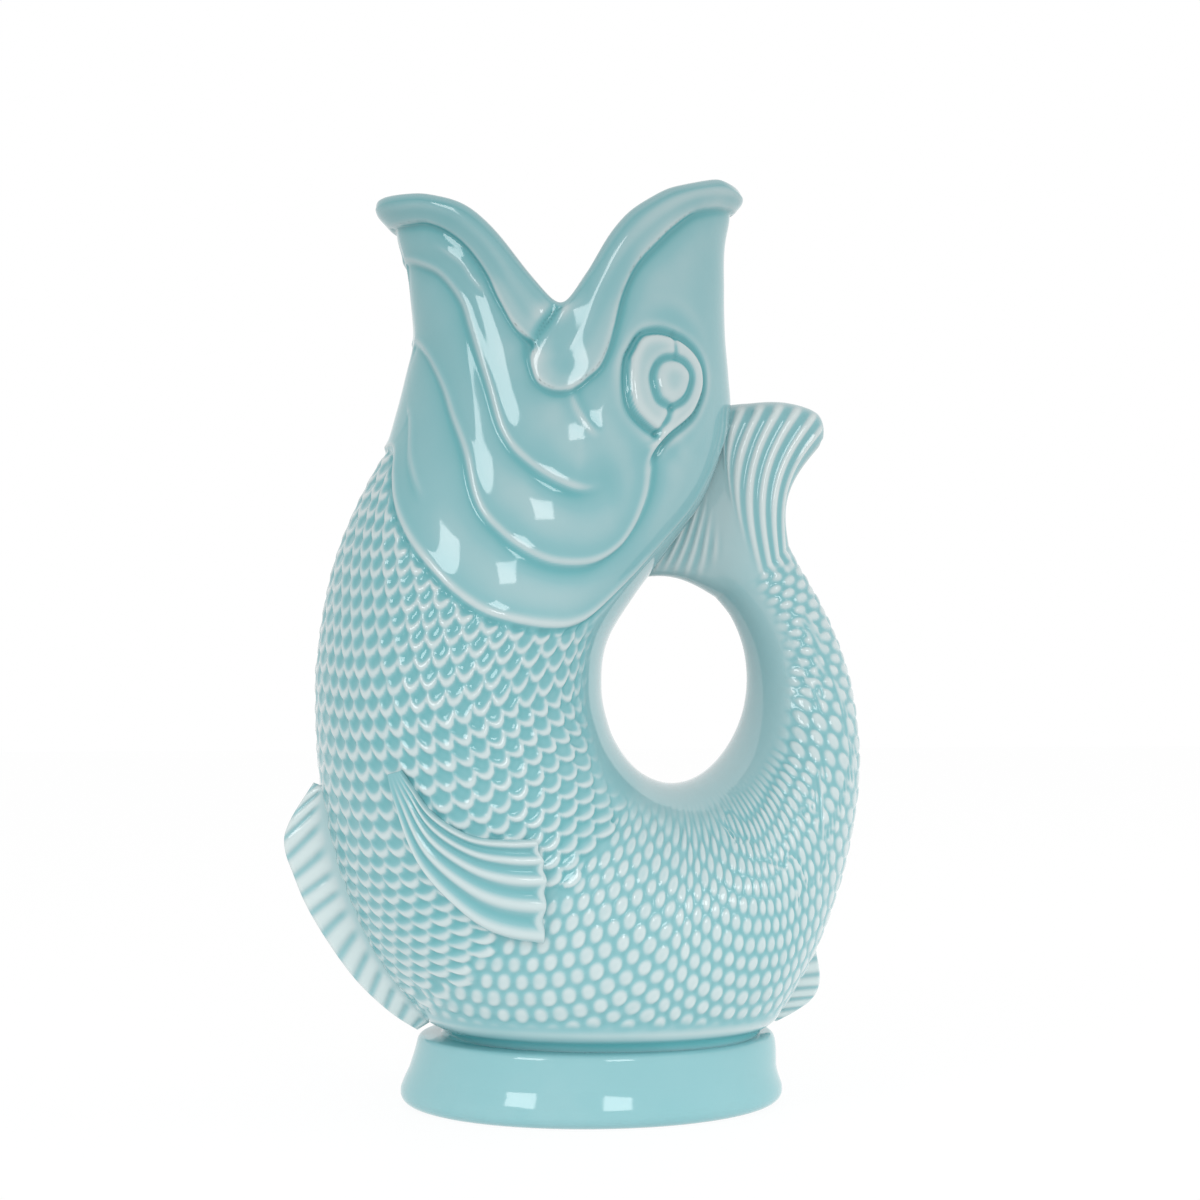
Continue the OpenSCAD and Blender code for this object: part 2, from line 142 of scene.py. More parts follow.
def along(table, t):
    """Smooth curve through the rows of a table, at places t counted in rows."""
    table = np.asarray(table, float)
    t = np.asarray(t, float)
    n = len(table)
    i = np.clip(np.floor(t).astype(int), 0, n - 2)
    f = (t - i)[..., None]
    p0 = table[np.maximum(i - 1, 0)]
    p1 = table[i]
    p2 = table[i + 1]
    p3 = table[np.minimum(i + 2, n - 1)]
    return p1 + 0.5*f*((p2 - p0) + f*((2*p0 - 5*p1 + 4*p2 - p3) + f*(3*(p1 - p2) + p3 - p0)))


def all_stations():
    rows = [(BODY_L*a, JUG_H*b, BODY_L*c, JUG_H*d, BODY_W*e) for a, b, c, d, e in NECK_SHARES]
    for a, b, angle, half in CURL_SHARES:
        g = math.radians(angle)
        rows.append((BODY_L*a, JUG_H*b, BODY_L*HOLE_X_SHARE + HOLE_W/2*math.cos(g),
                     JUG_H*HOLE_Z_SHARE + HOLE_H/2*math.sin(g), BODY_W*half))
    return np.array(rows)


STATIONS = all_stations()
TAIL_END = len(STATIONS) - 1


def fish(t, a, off=0.0):
    """Points of the fish at stations t, turned a radians from the belly line."""
    s = along(STATIONS, t)
    front, back = s[..., 0:2], s[..., 2:4]
    chord = back - front
    half = np.hypot(chord[..., 0], chord[..., 1])/2
    reach = (half + off)*np.cos(a)/(2*half)
    p = (front + back)/2 - chord*reach[..., None]
    return np.stack([p[..., 0], (s[..., 4] + off)*np.sin(a), p[..., 1]], axis=-1)


def way(a):
    """The way from the front (-1) to the back (1) at angle a."""
    return -np.cos(a)


def turn(share):
    """Angle at a way from the front (-1) to the back (1)."""
    return np.arccos(-np.clip(share, -1, 1))


def lookup(x, shares):
    xs, ys = zip(*shares)
    return np.interp(x, xs, ys)


def smooth(lo, hi, x):
    f = np.clip((x - lo)/(hi - lo), 0, 1)
    return f*f*(3 - 2*f)


def bell(x, width):
    return np.exp(-(x/width)**2)


def mix(a, b, f):
    return a + (b - a)*f


def unit(v):
    return v/np.maximum(np.linalg.norm(v, axis=-1, keepdims=True), TINY)


# The skin is one grid of rings. A ring has COLS points, the first on the belly
# line. Carving is worked out a side at a time, and the lines are the same on both.
COLS = 480
SIDE = COLS//2 + 1
ANGLES = 2*math.pi*np.arange(COLS)/COLS
INNER_ROWS = 24
RIM_ROWS = 8
HEAD_ROWS = 200
BODY_ROWS = 500
TAIL_ROWS = 165
FLUKE_ROWS = 84
ROW_MM = 0.6
FINE_PLACES = 2000


def join(left, right):
    """Whole rings from the columns of both sides, each counted from the belly line."""
    return np.concatenate([left, right[:, -2:0:-1]], axis=1)


def row_places(count, start, end):
    """Shares at which rows of equal length lie along the belly line."""
    fine = np.linspace(0, 1, FINE_PLACES)
    line = fish(mix(start, end, fine), 0*fine)
    length = np.concatenate([[0], np.cumsum(np.linalg.norm(np.diff(line, axis=0), axis=1))])
    return np.interp(np.linspace(0, length[-1], count + 1), length, fine)[:, None]


def edge_curve(shares, soft_cols):
    """A line across the fish with its corners evened out, one place a column."""
    line = lookup(way(ANGLES), shares)
    spread = np.fft.rfftfreq(COLS)*2*math.pi*soft_cols
    return np.fft.irfft(np.fft.rfft(line)*np.exp(-0.5*spread**2), COLS)


RIM = edge_curve(RIM_SHARES, RIM_SOFT_COLS) + RIM_IN_SHARE
far_corner = smooth(*RIM_FAR_FRONT_SHARES, way(ANGLES))*smooth(*RIM_FAR_BACK_SHARES, way(ANGLES))
RIM += RIM_FAR_SHARE*far_corner*(ANGLES < math.pi)
GILL = edge_curve(GILL_SHARES, GILL_SOFT_COLS)
START = RIM + RIM_DROP_SHARE

# The tail fin fans out from the end of the tail to a free edge, and is pressed
# into the fish's back between two stations
FLUKE_EDGE_SHARES = [(0.467, 0.731), (0.449, 0.755), (0.392, 0.766), (0.326, 0.765)]
FLUKE_SEAT_SHARES = [5.9, 6.85, 7.8, 8.7, 9.6]
FLUKE_ROUND_SHARE = 0.14
FLUKE_FULL_SHARE = 0.28
FLUKE_WAIST = 5.2
FLUKE_ARCH = 2.5
SEAT_DEEP = 1.5
FLUKE_TIP_CUT = 0.04
FLUKE_TIP_SHARE = 0.14
FLUKE_EDGE_ROUND = 0.97
FLUKE_ROOT_SHARE = 0.5


def fluke_edge():
    points = [(BODY_L*x, JUG_H*z) for x, z in FLUKE_EDGE_SHARES]
    backs = np.full(len(FLUKE_SEAT_SHARES), math.pi)
    seat = fish(np.array(FLUKE_SEAT_SHARES), backs, -LUTE - SEAT_DEEP)
    return np.array(points + [(p[0], p[2]) for p in seat])


def fluke(u, a):
    """Points of the tail fin, u from the tail to its edge, at angle a of its ring."""
    v = (way(a) + 1)/2
    u = u*(1 - FLUKE_TIP_CUT*smooth(FLUKE_TIP_SHARE, 0, v)**2)
    end = np.array(float(TAIL_END))
    outer, inner = fish(end, np.array(0.0), SKIN_IN), fish(end, np.array(math.pi), SKIN_IN)
    edge = fluke_edge()
    last = len(edge) - 1
    free = np.clip(last/2 + 0.5 - v*last, 0, 1)
    near = np.maximum(0, (u - 1 + FLUKE_ROUND_SHARE)/FLUKE_ROUND_SHARE)
    rounding = np.sqrt(1 - (FLUKE_EDGE_ROUND*near)**2)
    swell = np.maximum(4*v*(1 - v), TINY)**mix(FLUKE_ROOT_SHARE, FLUKE_FULL_SHARE, u)
    half = swell*mix(STATIONS[TAIL_END][4] + SKIN_IN, FLUKE_T/2, u)*mix(1, rounding, free)
    root = mix(outer[[0, 2]], inner[[0, 2]], v[..., None])
    p = mix(root, along(edge, v*last), u[..., None])
    arch = np.sin(math.pi*u)
    return np.stack([p[..., 0] - FLUKE_WAIST*(1 - v)*arch, np.sign(np.sin(a))*half,
                     p[..., 1] + FLUKE_ARCH*v*v*arch], axis=-1)


def ring(row):
    """Rows with one value each spread over all columns."""
    return np.broadcast_to(row, (len(row), COLS)) if row.shape[1] == 1 else row


def make_skin():
    """Rings of the skin from inside the throat over the rim to the tail fin's edge."""
    s = np.linspace(1, 0, INNER_ROWS + 1)[:, None]
    inner = fish(mix(START, GILL, s), ANGLES + 0*s, -WALL)
    phi = np.linspace(math.pi, 0, RIM_ROWS + 1)[1:-1, None]
    rim = fish(RIM + RIM_DROP_SHARE*(1 - np.sin(phi)), ANGLES + 0*phi, -WALL*(1 - np.cos(phi))/2)
    places = [mix(START, GILL, np.linspace(0, 1, HEAD_ROWS + 1)[:, None]),
              mix(GILL, TAIL_START, row_places(BODY_ROWS, GILL[0], TAIL_START)[1:]),
              ring(mix(TAIL_START, TAIL_END, row_places(TAIL_ROWS, TAIL_START, TAIL_END)[1:]))]
    t = np.concatenate(places)
    outer = fish(t, np.broadcast_to(ANGLES, t.shape), SKIN_IN)
    flat_rows = FLUKE_ROWS*2//3
    u = np.concatenate([np.linspace(0, 1 - FLUKE_ROUND_SHARE, flat_rows + 1)[1:],
                        1 - FLUKE_ROUND_SHARE*(1 - np.sin(np.linspace(
                            0, math.pi/2, FLUKE_ROWS - flat_rows + 1)[1:]))])[:, None]
    fin = fluke(ring(u), np.broadcast_to(ANGLES, (len(u), COLS)))
    t = np.concatenate([t, TAIL_END + ring(u)])
    return np.concatenate([inner, rim, outer, fin]), t


def blur_rows(grid, sigma):
    r = max(1, int(math.ceil(3*sigma)))
    k = np.exp(-0.5*(np.arange(-r, r + 1)/sigma)**2)
    k /= k.sum()
    pad = [(r, r)] + [(0, 0)]*(grid.ndim - 1)
    wide = np.pad(grid, pad, mode="edge")
    return sum(w*wide[i:i + len(grid)] for i, w in enumerate(k))


def blur(grid, mm, col_mm):
    """Grid of heights evened out over mm millimetres, col_mm being its column widths."""
    waves = np.fft.rfftfreq(COLS)*2*math.pi
    soft = np.fft.rfft(grid, axis=1)*np.exp(-0.5*(waves*(mm/col_mm)[:, None])**2)
    return blur_rows(np.fft.irfft(soft, COLS, axis=1), mm/ROW_MM)


def grid_normals(p):
    return unit(np.cross(np.roll(p, -1, 1) - np.roll(p, 1, 1), np.gradient(p, axis=0)))


LINE_POINTS = 500
LINE_STEP = 0.01


def line_on_skin(shares):
    """Points of a carved line, and at each the direction across it, towards the tail."""
    knots = np.array(shares, float)
    place = along(knots, np.linspace(0, len(knots) - 1, LINE_POINTS))
    t, a = place[:, 0], turn(place[:, 1])
    p = fish(t, a)
    around = fish(t, a + LINE_STEP) - fish(t, a - LINE_STEP)
    onward = fish(t + LINE_STEP, a) - fish(t - LINE_STEP, a)
    normal = unit(np.cross(around, onward))
    return p, unit(np.cross(normal, np.gradient(p, axis=0)))


def measure(shares, points):
    """Signed distance of points from a carved line, and the share along it they are nearest to."""
    p, across = line_on_skin(shares)
    flat = points.reshape(-1, 3)
    d2 = (flat**2).sum(1)[:, None] + (p**2).sum(1) - 2*flat@p.T
    near = d2.argmin(1)
    side = ((flat - p[near])*across[near]).sum(1)
    gap = np.sqrt(np.maximum(d2[np.arange(len(flat)), near] - SKIN_IN**2, 0))
    share = near/(len(p) - 1)
    return (np.sign(side)*gap).reshape(points.shape[:-1]), share.reshape(points.shape[:-1])


# Folds: heights, depths and widths of their cross-section, in millimetres
FOLD_RIDGE = 0.24
FOLD_DROP = 0.5
THROAT_RIDGE = 0.15
THROAT_DROP = 0.2
CHIN_RIDGE = 0.28
CORNER_RIDGE = 0.3
CORNER_HOLLOW = 0.15
RIDGE_W = 1.1
DROP_W = 1.9
DROP_REACH = 4
LIFT_SHARE = 0.4
LIFT_REACH = 8
# Lips: a roll with a crest near the rim, edged by a groove
LIP_ROLL_SHARE = 0.6
LIP_ROLL_POWER = 0.75
LIP_CREST_SHARE = 0.45
LIP_CREST_PLACE_SHARE = 0.4
LIP_CREST_W_SHARE = 0.26
LIP_GROOVE = 0.9
LIP_GROOVE_W = 0.9
LIP_GROOVE_REACH = 2.1
LIP_END_SHARES = (5.25, -0.16)
LIP_END_HOLLOW = 0.3
LIP_END_R = 3.4
# Upper and lower lip meet between these ways
UPPER_LIP_FRONT_SHARE = -0.36
LOWER_LIP_BACK_SHARE = -0.13
LOWER_GROOVE_BACK_SHARE = -0.28
# Eye: its middle, its reach along the fish and round it, and its lines
EYE_STATION_SHARE = 5.45
EYE_WAY_SHARE = 0.49
EYE_REACH_SHARE = 1.35
EYE_TURN = 18.5
EYE_OUTLINE_DEPTH = 1.1
EYE_OUTLINE_W = 0.95
IRIS_DEPTH = 1.0
IRIS_W = 0.9
PUPIL_RISE = 0.45
PUPIL_R = 3.4
EYE_LINES = [(EYE_TOP_LINE_SHARES, 0.6, 0.5), (EYE_LOW_LINE_SHARES, 0.9, 0.65)]
# Plates: the bare skin between the folds swells a little
PLATE_RISE = 0.8
PLATE_SHARE = 0.55
PLATE_EDGE = 1.2
PLATE_REACH = 7.0


def plate_edge(d, ridge, drop):
    """Cross-section of a fold: a plate that ends in a ridge over a groove."""
    lift = LIFT_SHARE*drop*np.exp(np.minimum(d, 0)/LIFT_REACH)*(1 - smooth(-0.3, 1.7, d))
    groove = drop*smooth(0.2, DROP_W, d)*np.exp(-np.maximum(d - DROP_W, 0)/DROP_REACH)
    return ridge*bell(d, RIDGE_W) + lift - groove


def lip_bead(d_rim, d_edge):
    """A lip swells between the rim and the groove that edges it."""
    across = d_rim/(d_rim + np.abs(d_edge) + 1e-6)
    roll = LIP_ROLL_SHARE*np.sin(math.pi*across)**LIP_ROLL_POWER
    crest = LIP_CREST_SHARE*bell(across - LIP_CREST_PLACE_SHARE, LIP_CREST_W_SHARE)
    return LIP_RISE*(roll + crest)


def lip_groove(d):
    """Groove beside a lip, steep at the lip and running out away from it."""
    fade = np.exp(-np.maximum(d - LIP_GROOVE_W, 0)/LIP_GROOVE_REACH)
    return -LIP_GROOVE*smooth(-0.2, LIP_GROOVE_W, d)*fade


def eye_radius(t, a):
    """Distance from the eye's middle, 1 at the edge of its disc."""
    return np.hypot((t - EYE_STATION_SHARE)/EYE_REACH_SHARE,
                    (a - turn(EYE_WAY_SHARE))/math.radians(EYE_TURN))


def eye_relief(t, a, p):
    """A disc with a spiral outline, and a domed pupil in a ring with a line above and below it."""
    r = eye_radius(t, a)
    d, _ = measure(EYE_LINE_SHARES, p)
    h = EYE_RISE*smooth(0.2, 1.4, -d)*(1 - smooth(1.05, 1.3, r))
    h -= EYE_OUTLINE_DEPTH*bell(d, EYE_OUTLINE_W)*(1 - smooth(1.3, 1.6, r))
    d, _ = measure(IRIS_SHARES, p)
    h += PUPIL_RISE*smooth(0.3, PUPIL_R, -d) - IRIS_DEPTH*bell(d, IRIS_W)
    for line, depth, width in EYE_LINES:
        d, _ = measure(line, p)
        h -= depth*bell(d, width)
    return h


def lip_relief(p, c, low, up, on_lower, on_upper):
    """Height of the lips and of the grooves that edge them."""
    (d_low, s_low), (d_up, s_up) = low, up
    d_rim = np.abs(measure(RIM_LINE, p)[0])
    off_lips = ~on_lower & ~on_upper
    h = np.where(on_lower, lip_bead(d_rim, d_low)*smooth(0, 2.2, np.abs(d_up)), 0)
    end = fish(np.array(LIP_END_SHARES[0]), turn(LIP_END_SHARES[1]))
    hollow = LIP_END_HOLLOW*bell(np.linalg.norm(p - end, axis=2), LIP_END_R)
    corner = smooth(0, 1.8, np.abs(d_up)) + smooth(0.13, 0.2, s_up)
    h += np.where(on_upper, lip_bead(d_rim, d_up)*np.minimum(corner, 1) - hollow, 0)
    under_lower = off_lips & (c < LOWER_GROOVE_BACK_SHARE)
    h += np.where(under_lower, lip_groove(d_low)*smooth(1.0, 0.93, s_low), 0)
    return h + np.where(off_lips, lip_groove(d_up)*smooth(0.0, 0.04, s_up), 0)


def fold_relief(p, fold_1, fold_2, on_lower):
    """Height of the folds of the cheek, the chin, the throat and the mouth's corner."""
    d, s = measure(CHIN_FOLD_SHARES, p)
    h = CHIN_RIDGE*bell(d, 1.0)*smooth(0, 0.3, s)*smooth(1, 0.7, s)
    d, s = fold_1
    h += plate_edge(d, FOLD_RIDGE, FOLD_DROP)*smooth(1.0, 0.86, s)*smooth(0, 0.05, s)*~on_lower
    d, s = fold_2
    h += plate_edge(d, FOLD_RIDGE, FOLD_DROP)*smooth(1.0, 0.93, s)*smooth(0, 0.03, s)
    d, s = measure(THROAT_FOLD_SHARES, p)
    h += plate_edge(d, THROAT_RIDGE, THROAT_DROP)*smooth(1.0, 0.75, s)*smooth(0, 0.1, s)
    d, s = measure(CORNER_FOLD_SHARES, p)
    corner = CORNER_RIDGE*bell(d, 0.7) - CORNER_HOLLOW*bell(d + 1.8, 1)
    return h + corner*smooth(1.0, 0.7, s)*smooth(0, 0.15, s)


def head_relief(t, a, p):
    """Carving of the head at its outer points p, and where its lips and eyes lie."""
    c = way(a)
    lines = (LOWER_LIP_SHARES, UPPER_LIP_SHARES, FOLD_1_SHARES, FOLD_2_SHARES, GILL_LINE)
    measured = [measure(line, p) for line in lines]
    low, up, fold_1, fold_2, _ = measured
    on_upper = (up[0] < 0) & (c > UPPER_LIP_FRONT_SHARE)
    on_lower = (low[0] < 0) & (c < LOWER_LIP_BACK_SHARE) & ~on_upper
    h = lip_relief(p, c, low, up, on_lower, on_upper)

    bulge = PLATE_SHARE*smooth(0, PLATE_EDGE, np.abs(low[0]))*smooth(0, PLATE_EDGE, np.abs(up[0]))
    swell = 1
    for d, _ in measured:
        swell = swell*(1 - bell(d, PLATE_REACH))
    r = eye_radius(t, a)
    calm = smooth(0.9, 0.6, c)*smooth(1.0, 1.5, r)
    h += np.where(on_lower | on_upper, 0, PLATE_RISE*(swell - bulge)*calm)
    h += fold_relief(p, fold_1, fold_2, on_lower)
    return h + eye_relief(t, a, p), on_lower, on_upper, r < 1.0


# Scales and grains: rows along the fish at its stations, the slant of a row between
# belly and back in stations, where they fade out towards the finger hole, their
# width, how softly they fade, and the rows and the slope of the scales on the front
SCALE_ROW_SHARES = [(14, -6.2), (15, 0), (16, 6.2), (17, 12.6), (18, 19), (19, 24.6), (20, 29.3),
                    (21, 33.7), (22, 37.9), (23, 42), (24, 46.1), (25, 50.4), (26, 54.8),
                    (27, 59.3), (28.5, 65.4)]
SCALE_SLANT_SHARES = [(6, 0.6), (12, 0.6), (14, 1.4), (15.5, 1.4), (17.5, 0.4), (19, 0.4),
                      (21, 1.2), (22, 1.2), (23.5, 0.2), (28, 0.2)]
SCALE_FADE_SHARES = [(6, 0.45), (9, 0.6), (11, 0.78), (13, 0.76), (14.4, 0.72), (15.2, 0.76),
                     (16.5, 0.85), (19.7, 0.88), (20.5, 0.82), (22, 0.73), (23.5, 0.6), (24.3, 0.54),
                     (25.5, 0.47), (27, 0.38)]
SCALE_W_MM = [(7, 4.4), (12, 4.5), (13, 5.1), (14, 5.4), (15.4, 5.8), (17.5, 6.1), (19.5, 5.2),
              (21, 5.0), (28, 4.8)]
SCALE_SOFT_SHARES = [(13, 0.15), (15, 0.2), (22, 0.3), (27, 0.4)]
SCALE_WRAP_SHARE = 0.6
SCALE_ROW_MM = [(7, 5.1), (12.5, 5.1), (13.5, 4.7), (14.5, 3.6), (15.4, 3.4)]
SCALE_SLOPE = 0.27
# Outline of a scale, and its height: sunk ground, pale edge and tilt over the next row
SCALE_TIP_SHARE = 1.08
SCALE_DIP_SHARE = 0.68
SCALE_ARCH_SHARE = 0.96
SCALE_ARCH_SLOPE = 0.92
SCALE_GROUND = -0.36
SCALE_RISE = 0.66
SCALE_TILT = 0.15
SCALE_EDGE_SHARES = (0.14, 0.66)
SCALE_SIDE_THIN = 0.6
GRAIN_RISE = 0.42
GRAIN_HALF = (0.86, 0.56)
# No two scales are quite alike: steps of a number that differs from one to the next
ROW_KEY = 0.618
COL_KEY = 0.377
SIZE_KEY = 7.3
RISE_RANGE = (0.85, 1.15)
GRAIN_SIZES = (0.88, 1.12)
GRAIN_SHIFT = 0.1
# Scales turn to grains at the seam, fill up before it, and form a net high on the body
SEAM_SHARE = 15.4
SEAM_WAVE_SHARE = 0.12
SEAM_WAVES_PER_MM = 0.45
FILL_SHARES = (13.6, 15.2)
FILL_RISE = 0.8
NET_Z = (98, 122)
NET_RISE = 0.6
# Bare skin under the belly fin and the fin below the tail
BARE_SHARES = [(12.2, 12.7, 15.8, 16.2), (19.0, 19.3, 20.6, 20.9)]
BARE_MM = (5, 2.5)
# Least step between rows and least area of a cell in them, and limits of a row's width
LEAST_STEP = 1e-3
LEAST_AREA = 1e-6
ROW_LIMITS = (1.5, 8)
# Rays of the tail fin
RAY_COUNT = 7.6
RAY_FAN = 0.65
RAY_RISE = 0.8
RAY_SINK = 0.2
RAY_START_SHARE = 26.3
RAY_FULL_SHARE = 27.1


def seam_place(arc):
    """Wavy line across the fish at which the scales give way to grains."""
    return SEAM_SHARE + SEAM_WAVE_SHARE*np.sin(arc*SEAM_WAVES_PER_MM)


def scale_pattern(t, arc, row, row_mm, col, scale_w, net, grains):
    """Height of the scales, or of the grains, and where they cover the skin."""
    (row_i, row_j), (col_i, col_j) = np.gradient(row), np.gradient(col)
    (t_i, t_j), (arc_i, arc_j) = np.gradient(t), np.gradient(arc)
    area = row_i*col_j - row_j*col_i
    area = np.where(np.abs(area) < LEAST_AREA, LEAST_AREA, area)
    h = np.full(row.shape, SCALE_GROUND)
    taken = np.zeros(row.shape, bool)
    for k in (-1, 0, 1):
        r = np.floor(row) + k
        odd = np.mod(r, 2)*0.5
        centre = np.round(col - odd) + odd
        dv = row - r
        du = np.abs(col - centre)*2
        # Steps over the grid to the scale's middle, which is what has to lie before the seam
        di = ((0.5 - dv)*col_j - (centre - col)*row_j)/area
        dj = ((centre - col)*row_i - (0.5 - dv)*col_i)/area
        before_seam = t + t_i*di + t_j*dj < seam_place(arc + arc_i*di + arc_j*dj)
        arch = np.sqrt(1 - (SCALE_ARCH_SHARE*du)**2)
        tip = SCALE_TIP_SHARE - SCALE_DIP_SHARE*(1 - arch)
        slope = 2*SCALE_DIP_SHARE*SCALE_ARCH_SLOPE*du/arch*row_mm/scale_w
        free = (tip - dv)*row_mm/np.hypot(1, slope)
        key = np.mod(r*ROW_KEY + centre*COL_KEY, 1)
        if grains:
            size = mix(*GRAIN_SIZES, np.mod(key*SIZE_KEY, 1))
            middle = SCALE_TIP_SHARE - GRAIN_HALF[1] + GRAIN_SHIFT*key
            pale = smooth(1.15, 0.5, np.hypot(du/GRAIN_HALF[0], (dv - middle)/GRAIN_HALF[1])/size)
        else:
            thin = (1 - SCALE_SIDE_THIN*du*du)*(1 + FILL_RISE*smooth(*FILL_SHARES, t))
            start, end = SCALE_EDGE_SHARES
            pale = np.maximum(1 - smooth(start*thin, end*thin, free/row_mm), net*smooth(0.45, 0.8, du))
        rise = (GRAIN_RISE if grains else SCALE_RISE)*mix(*RISE_RANGE, key)
        lift = rise*pale*smooth(-0.1, 0.5, free) + SCALE_TILT*np.clip(dv, -0.5, 1) + SCALE_GROUND
        mine = ~taken & (free > 0) & (before_seam != grains)
        h = np.where(mine, lift, h)
        taken |= mine
    return h, taken


def scale_relief(t, a, p):
    """Height of the scales: each lies over the next row and is thick along its free edge."""
    step = np.linalg.norm(np.diff(p, axis=1), axis=2)
    arc = np.concatenate([np.zeros((len(p), 1)), np.cumsum(step, axis=1)], axis=1)
    down = np.linalg.norm(np.gradient(p, axis=0), axis=2)
    scale_w = lookup(t, SCALE_W_MM)
    flat = np.hypot(np.diff(p[..., 0], axis=1), np.diff(p[..., 2], axis=1))
    aside = np.maximum(flat, SCALE_WRAP_SHARE*step)
    col = np.concatenate([np.zeros((len(p), 1)), np.cumsum(aside, axis=1)], axis=1)/scale_w
    net = NET_RISE*smooth(*NET_Z, p[..., 2])
    pitch = lookup(t, SCALE_ROW_MM)*(1 - 0.1*smooth(-0.2, 0.6, way(a)))
    row = np.cumsum(down/pitch, axis=0)
    row += (p[0, 0, 2] - p[0, :, 2] + SCALE_SLOPE*(p[0, :, 0] - p[0, 0, 0]))/pitch[0]
    scale_h, scales = scale_pattern(t, arc, row, pitch, col, scale_w, net, False)
    row = lookup(t + lookup(t, SCALE_SLANT_SHARES)*arc/arc[:, -1:], SCALE_ROW_SHARES)
    row_mm = np.clip(down/np.maximum(np.gradient(row, axis=0), LEAST_STEP), *ROW_LIMITS)
    grain_h, _ = scale_pattern(t, arc, row, row_mm, col, scale_w, net, True)
    h = np.where(scales, scale_h, grain_h)
    for a0, a1, b0, b1 in BARE_SHARES:
        h *= 1 - smooth(a0, a1, t)*smooth(b1, b0, t)*smooth(*BARE_MM, arc)
    past = (way(a) - lookup(t, SCALE_FADE_SHARES))/lookup(t, SCALE_SOFT_SHARES)
    return h*(1 - smooth(-1, 0.2, past))


def ray_relief(t, a):
    """Height of the rays of the tail fin, which begin on the tail."""
    v = (way(a) + 1)/2
    u = t - TAIL_END
    fan = v*np.exp(RAY_FAN*np.maximum(u, 0))
    crest = (0.5 + 0.5*np.cos(2*math.pi*RAY_COUNT*fan))**2
    even = smooth(0.6, 0.42, v) + 0.5*smooth(0.72, 0.85, v)*smooth(0.25, 0.5, u)
    ends = smooth(RAY_START_SHARE, RAY_FULL_SHARE, t)*smooth(0.995, 0.93, u)*smooth(1.0, 0.92, v)
    return (RAY_RISE*crest - RAY_SINK)*even*ends


# Glaze: the width over which it evens out the carving, the widths over which it runs from ridges to
# hollows, its greatest difference, and its thickness inside the throat and over the rim, set a little
# thin so that the inside is paler: painted light where shade falls inside the mouth
GLAZE_FINE = 0.45
GLAZE_RUN = 1.6
GLAZE_WIDE_RUN = 6.0
GLAZE_WIDE_SHARE = 0.22
GLAZE_RANGE = 0.36
INSIDE_GLAZE_AND_PAINTED_LIGHT = -0.03


def make_glaze(h, col_mm):
    """Height of the glazed surface, and how thick the glaze lies on it."""
    fine = blur(h, GLAZE_FINE, col_mm)
    wide = blur(h, GLAZE_WIDE_RUN, col_mm) - fine
    thick = blur(h, GLAZE_RUN, col_mm) - fine + GLAZE_WIDE_SHARE*wide
    return fine, GLAZE_RANGE*np.tanh(thick/GLAZE_RANGE)


skin, places = make_skin()
OUT = INNER_ROWS + RIM_ROWS
GILL_ROW = OUT + HEAD_ROWS
TAIL_ROW = GILL_ROW + BODY_ROWS
FLUKE_ROW = TAIL_ROW + TAIL_ROWS


# Gill cover: how far it sinks back into the head, the ridge on its edge and the groove after it
GILL_SINK = 8
GILL_RIDGE = 0.15
GILL_RIDGE_IN = 1.3
GILL_GROOVE = 0.6
GILL_GROOVE_OUT = 0.9
GILL_BACK_SHARES = [(0.8, 1), (1, 0.35)]
GILL_ROWS = 80
# Collar and channel between the body and the foot
COLLAR_RISE = 0.35
CHANNEL_DEPTH = 0.7
SCALE_LOW_Z = (24.5, 27)
# How much thinner the glaze lies on the lips, scales and grains, how much darker the throat is painted
# as shade under the head, and how much paler the tail fin is, with thinner glaze on its rays and
# painted light in the shade by the head
THROAT_PAINTED_SHADE = -0.08
LIP_PALE = -0.07
SCALE_PALE = 0.03
GRAIN_PALE = 0.1
FLUKE_PAINTED_LIGHT = 0.16


def gill_relief(relief, t, a, p):
    """Carving near the gill line, with the gill cover's edge worked into it."""
    d, _ = measure(GILL_LINE, p)
    on_head = t < np.broadcast_to(GILL[:SIDE], t.shape) + TINY
    d = np.where(on_head, -np.abs(d), np.abs(d))
    rise = GILL_RISE*np.exp(np.minimum(d, 0)/GILL_SINK)*(1 - smooth(-1.0, 0.5, d))
    rise += GILL_RIDGE*bell(d + GILL_RIDGE_IN, 1.0)*on_head
    carved = relief*smooth(0, 1.5, np.abs(d)) + rise*lookup(way(a), GILL_BACK_SHARES)
    return carved - GILL_GROOVE*bell(d - GILL_GROOVE_OUT, 1.0)


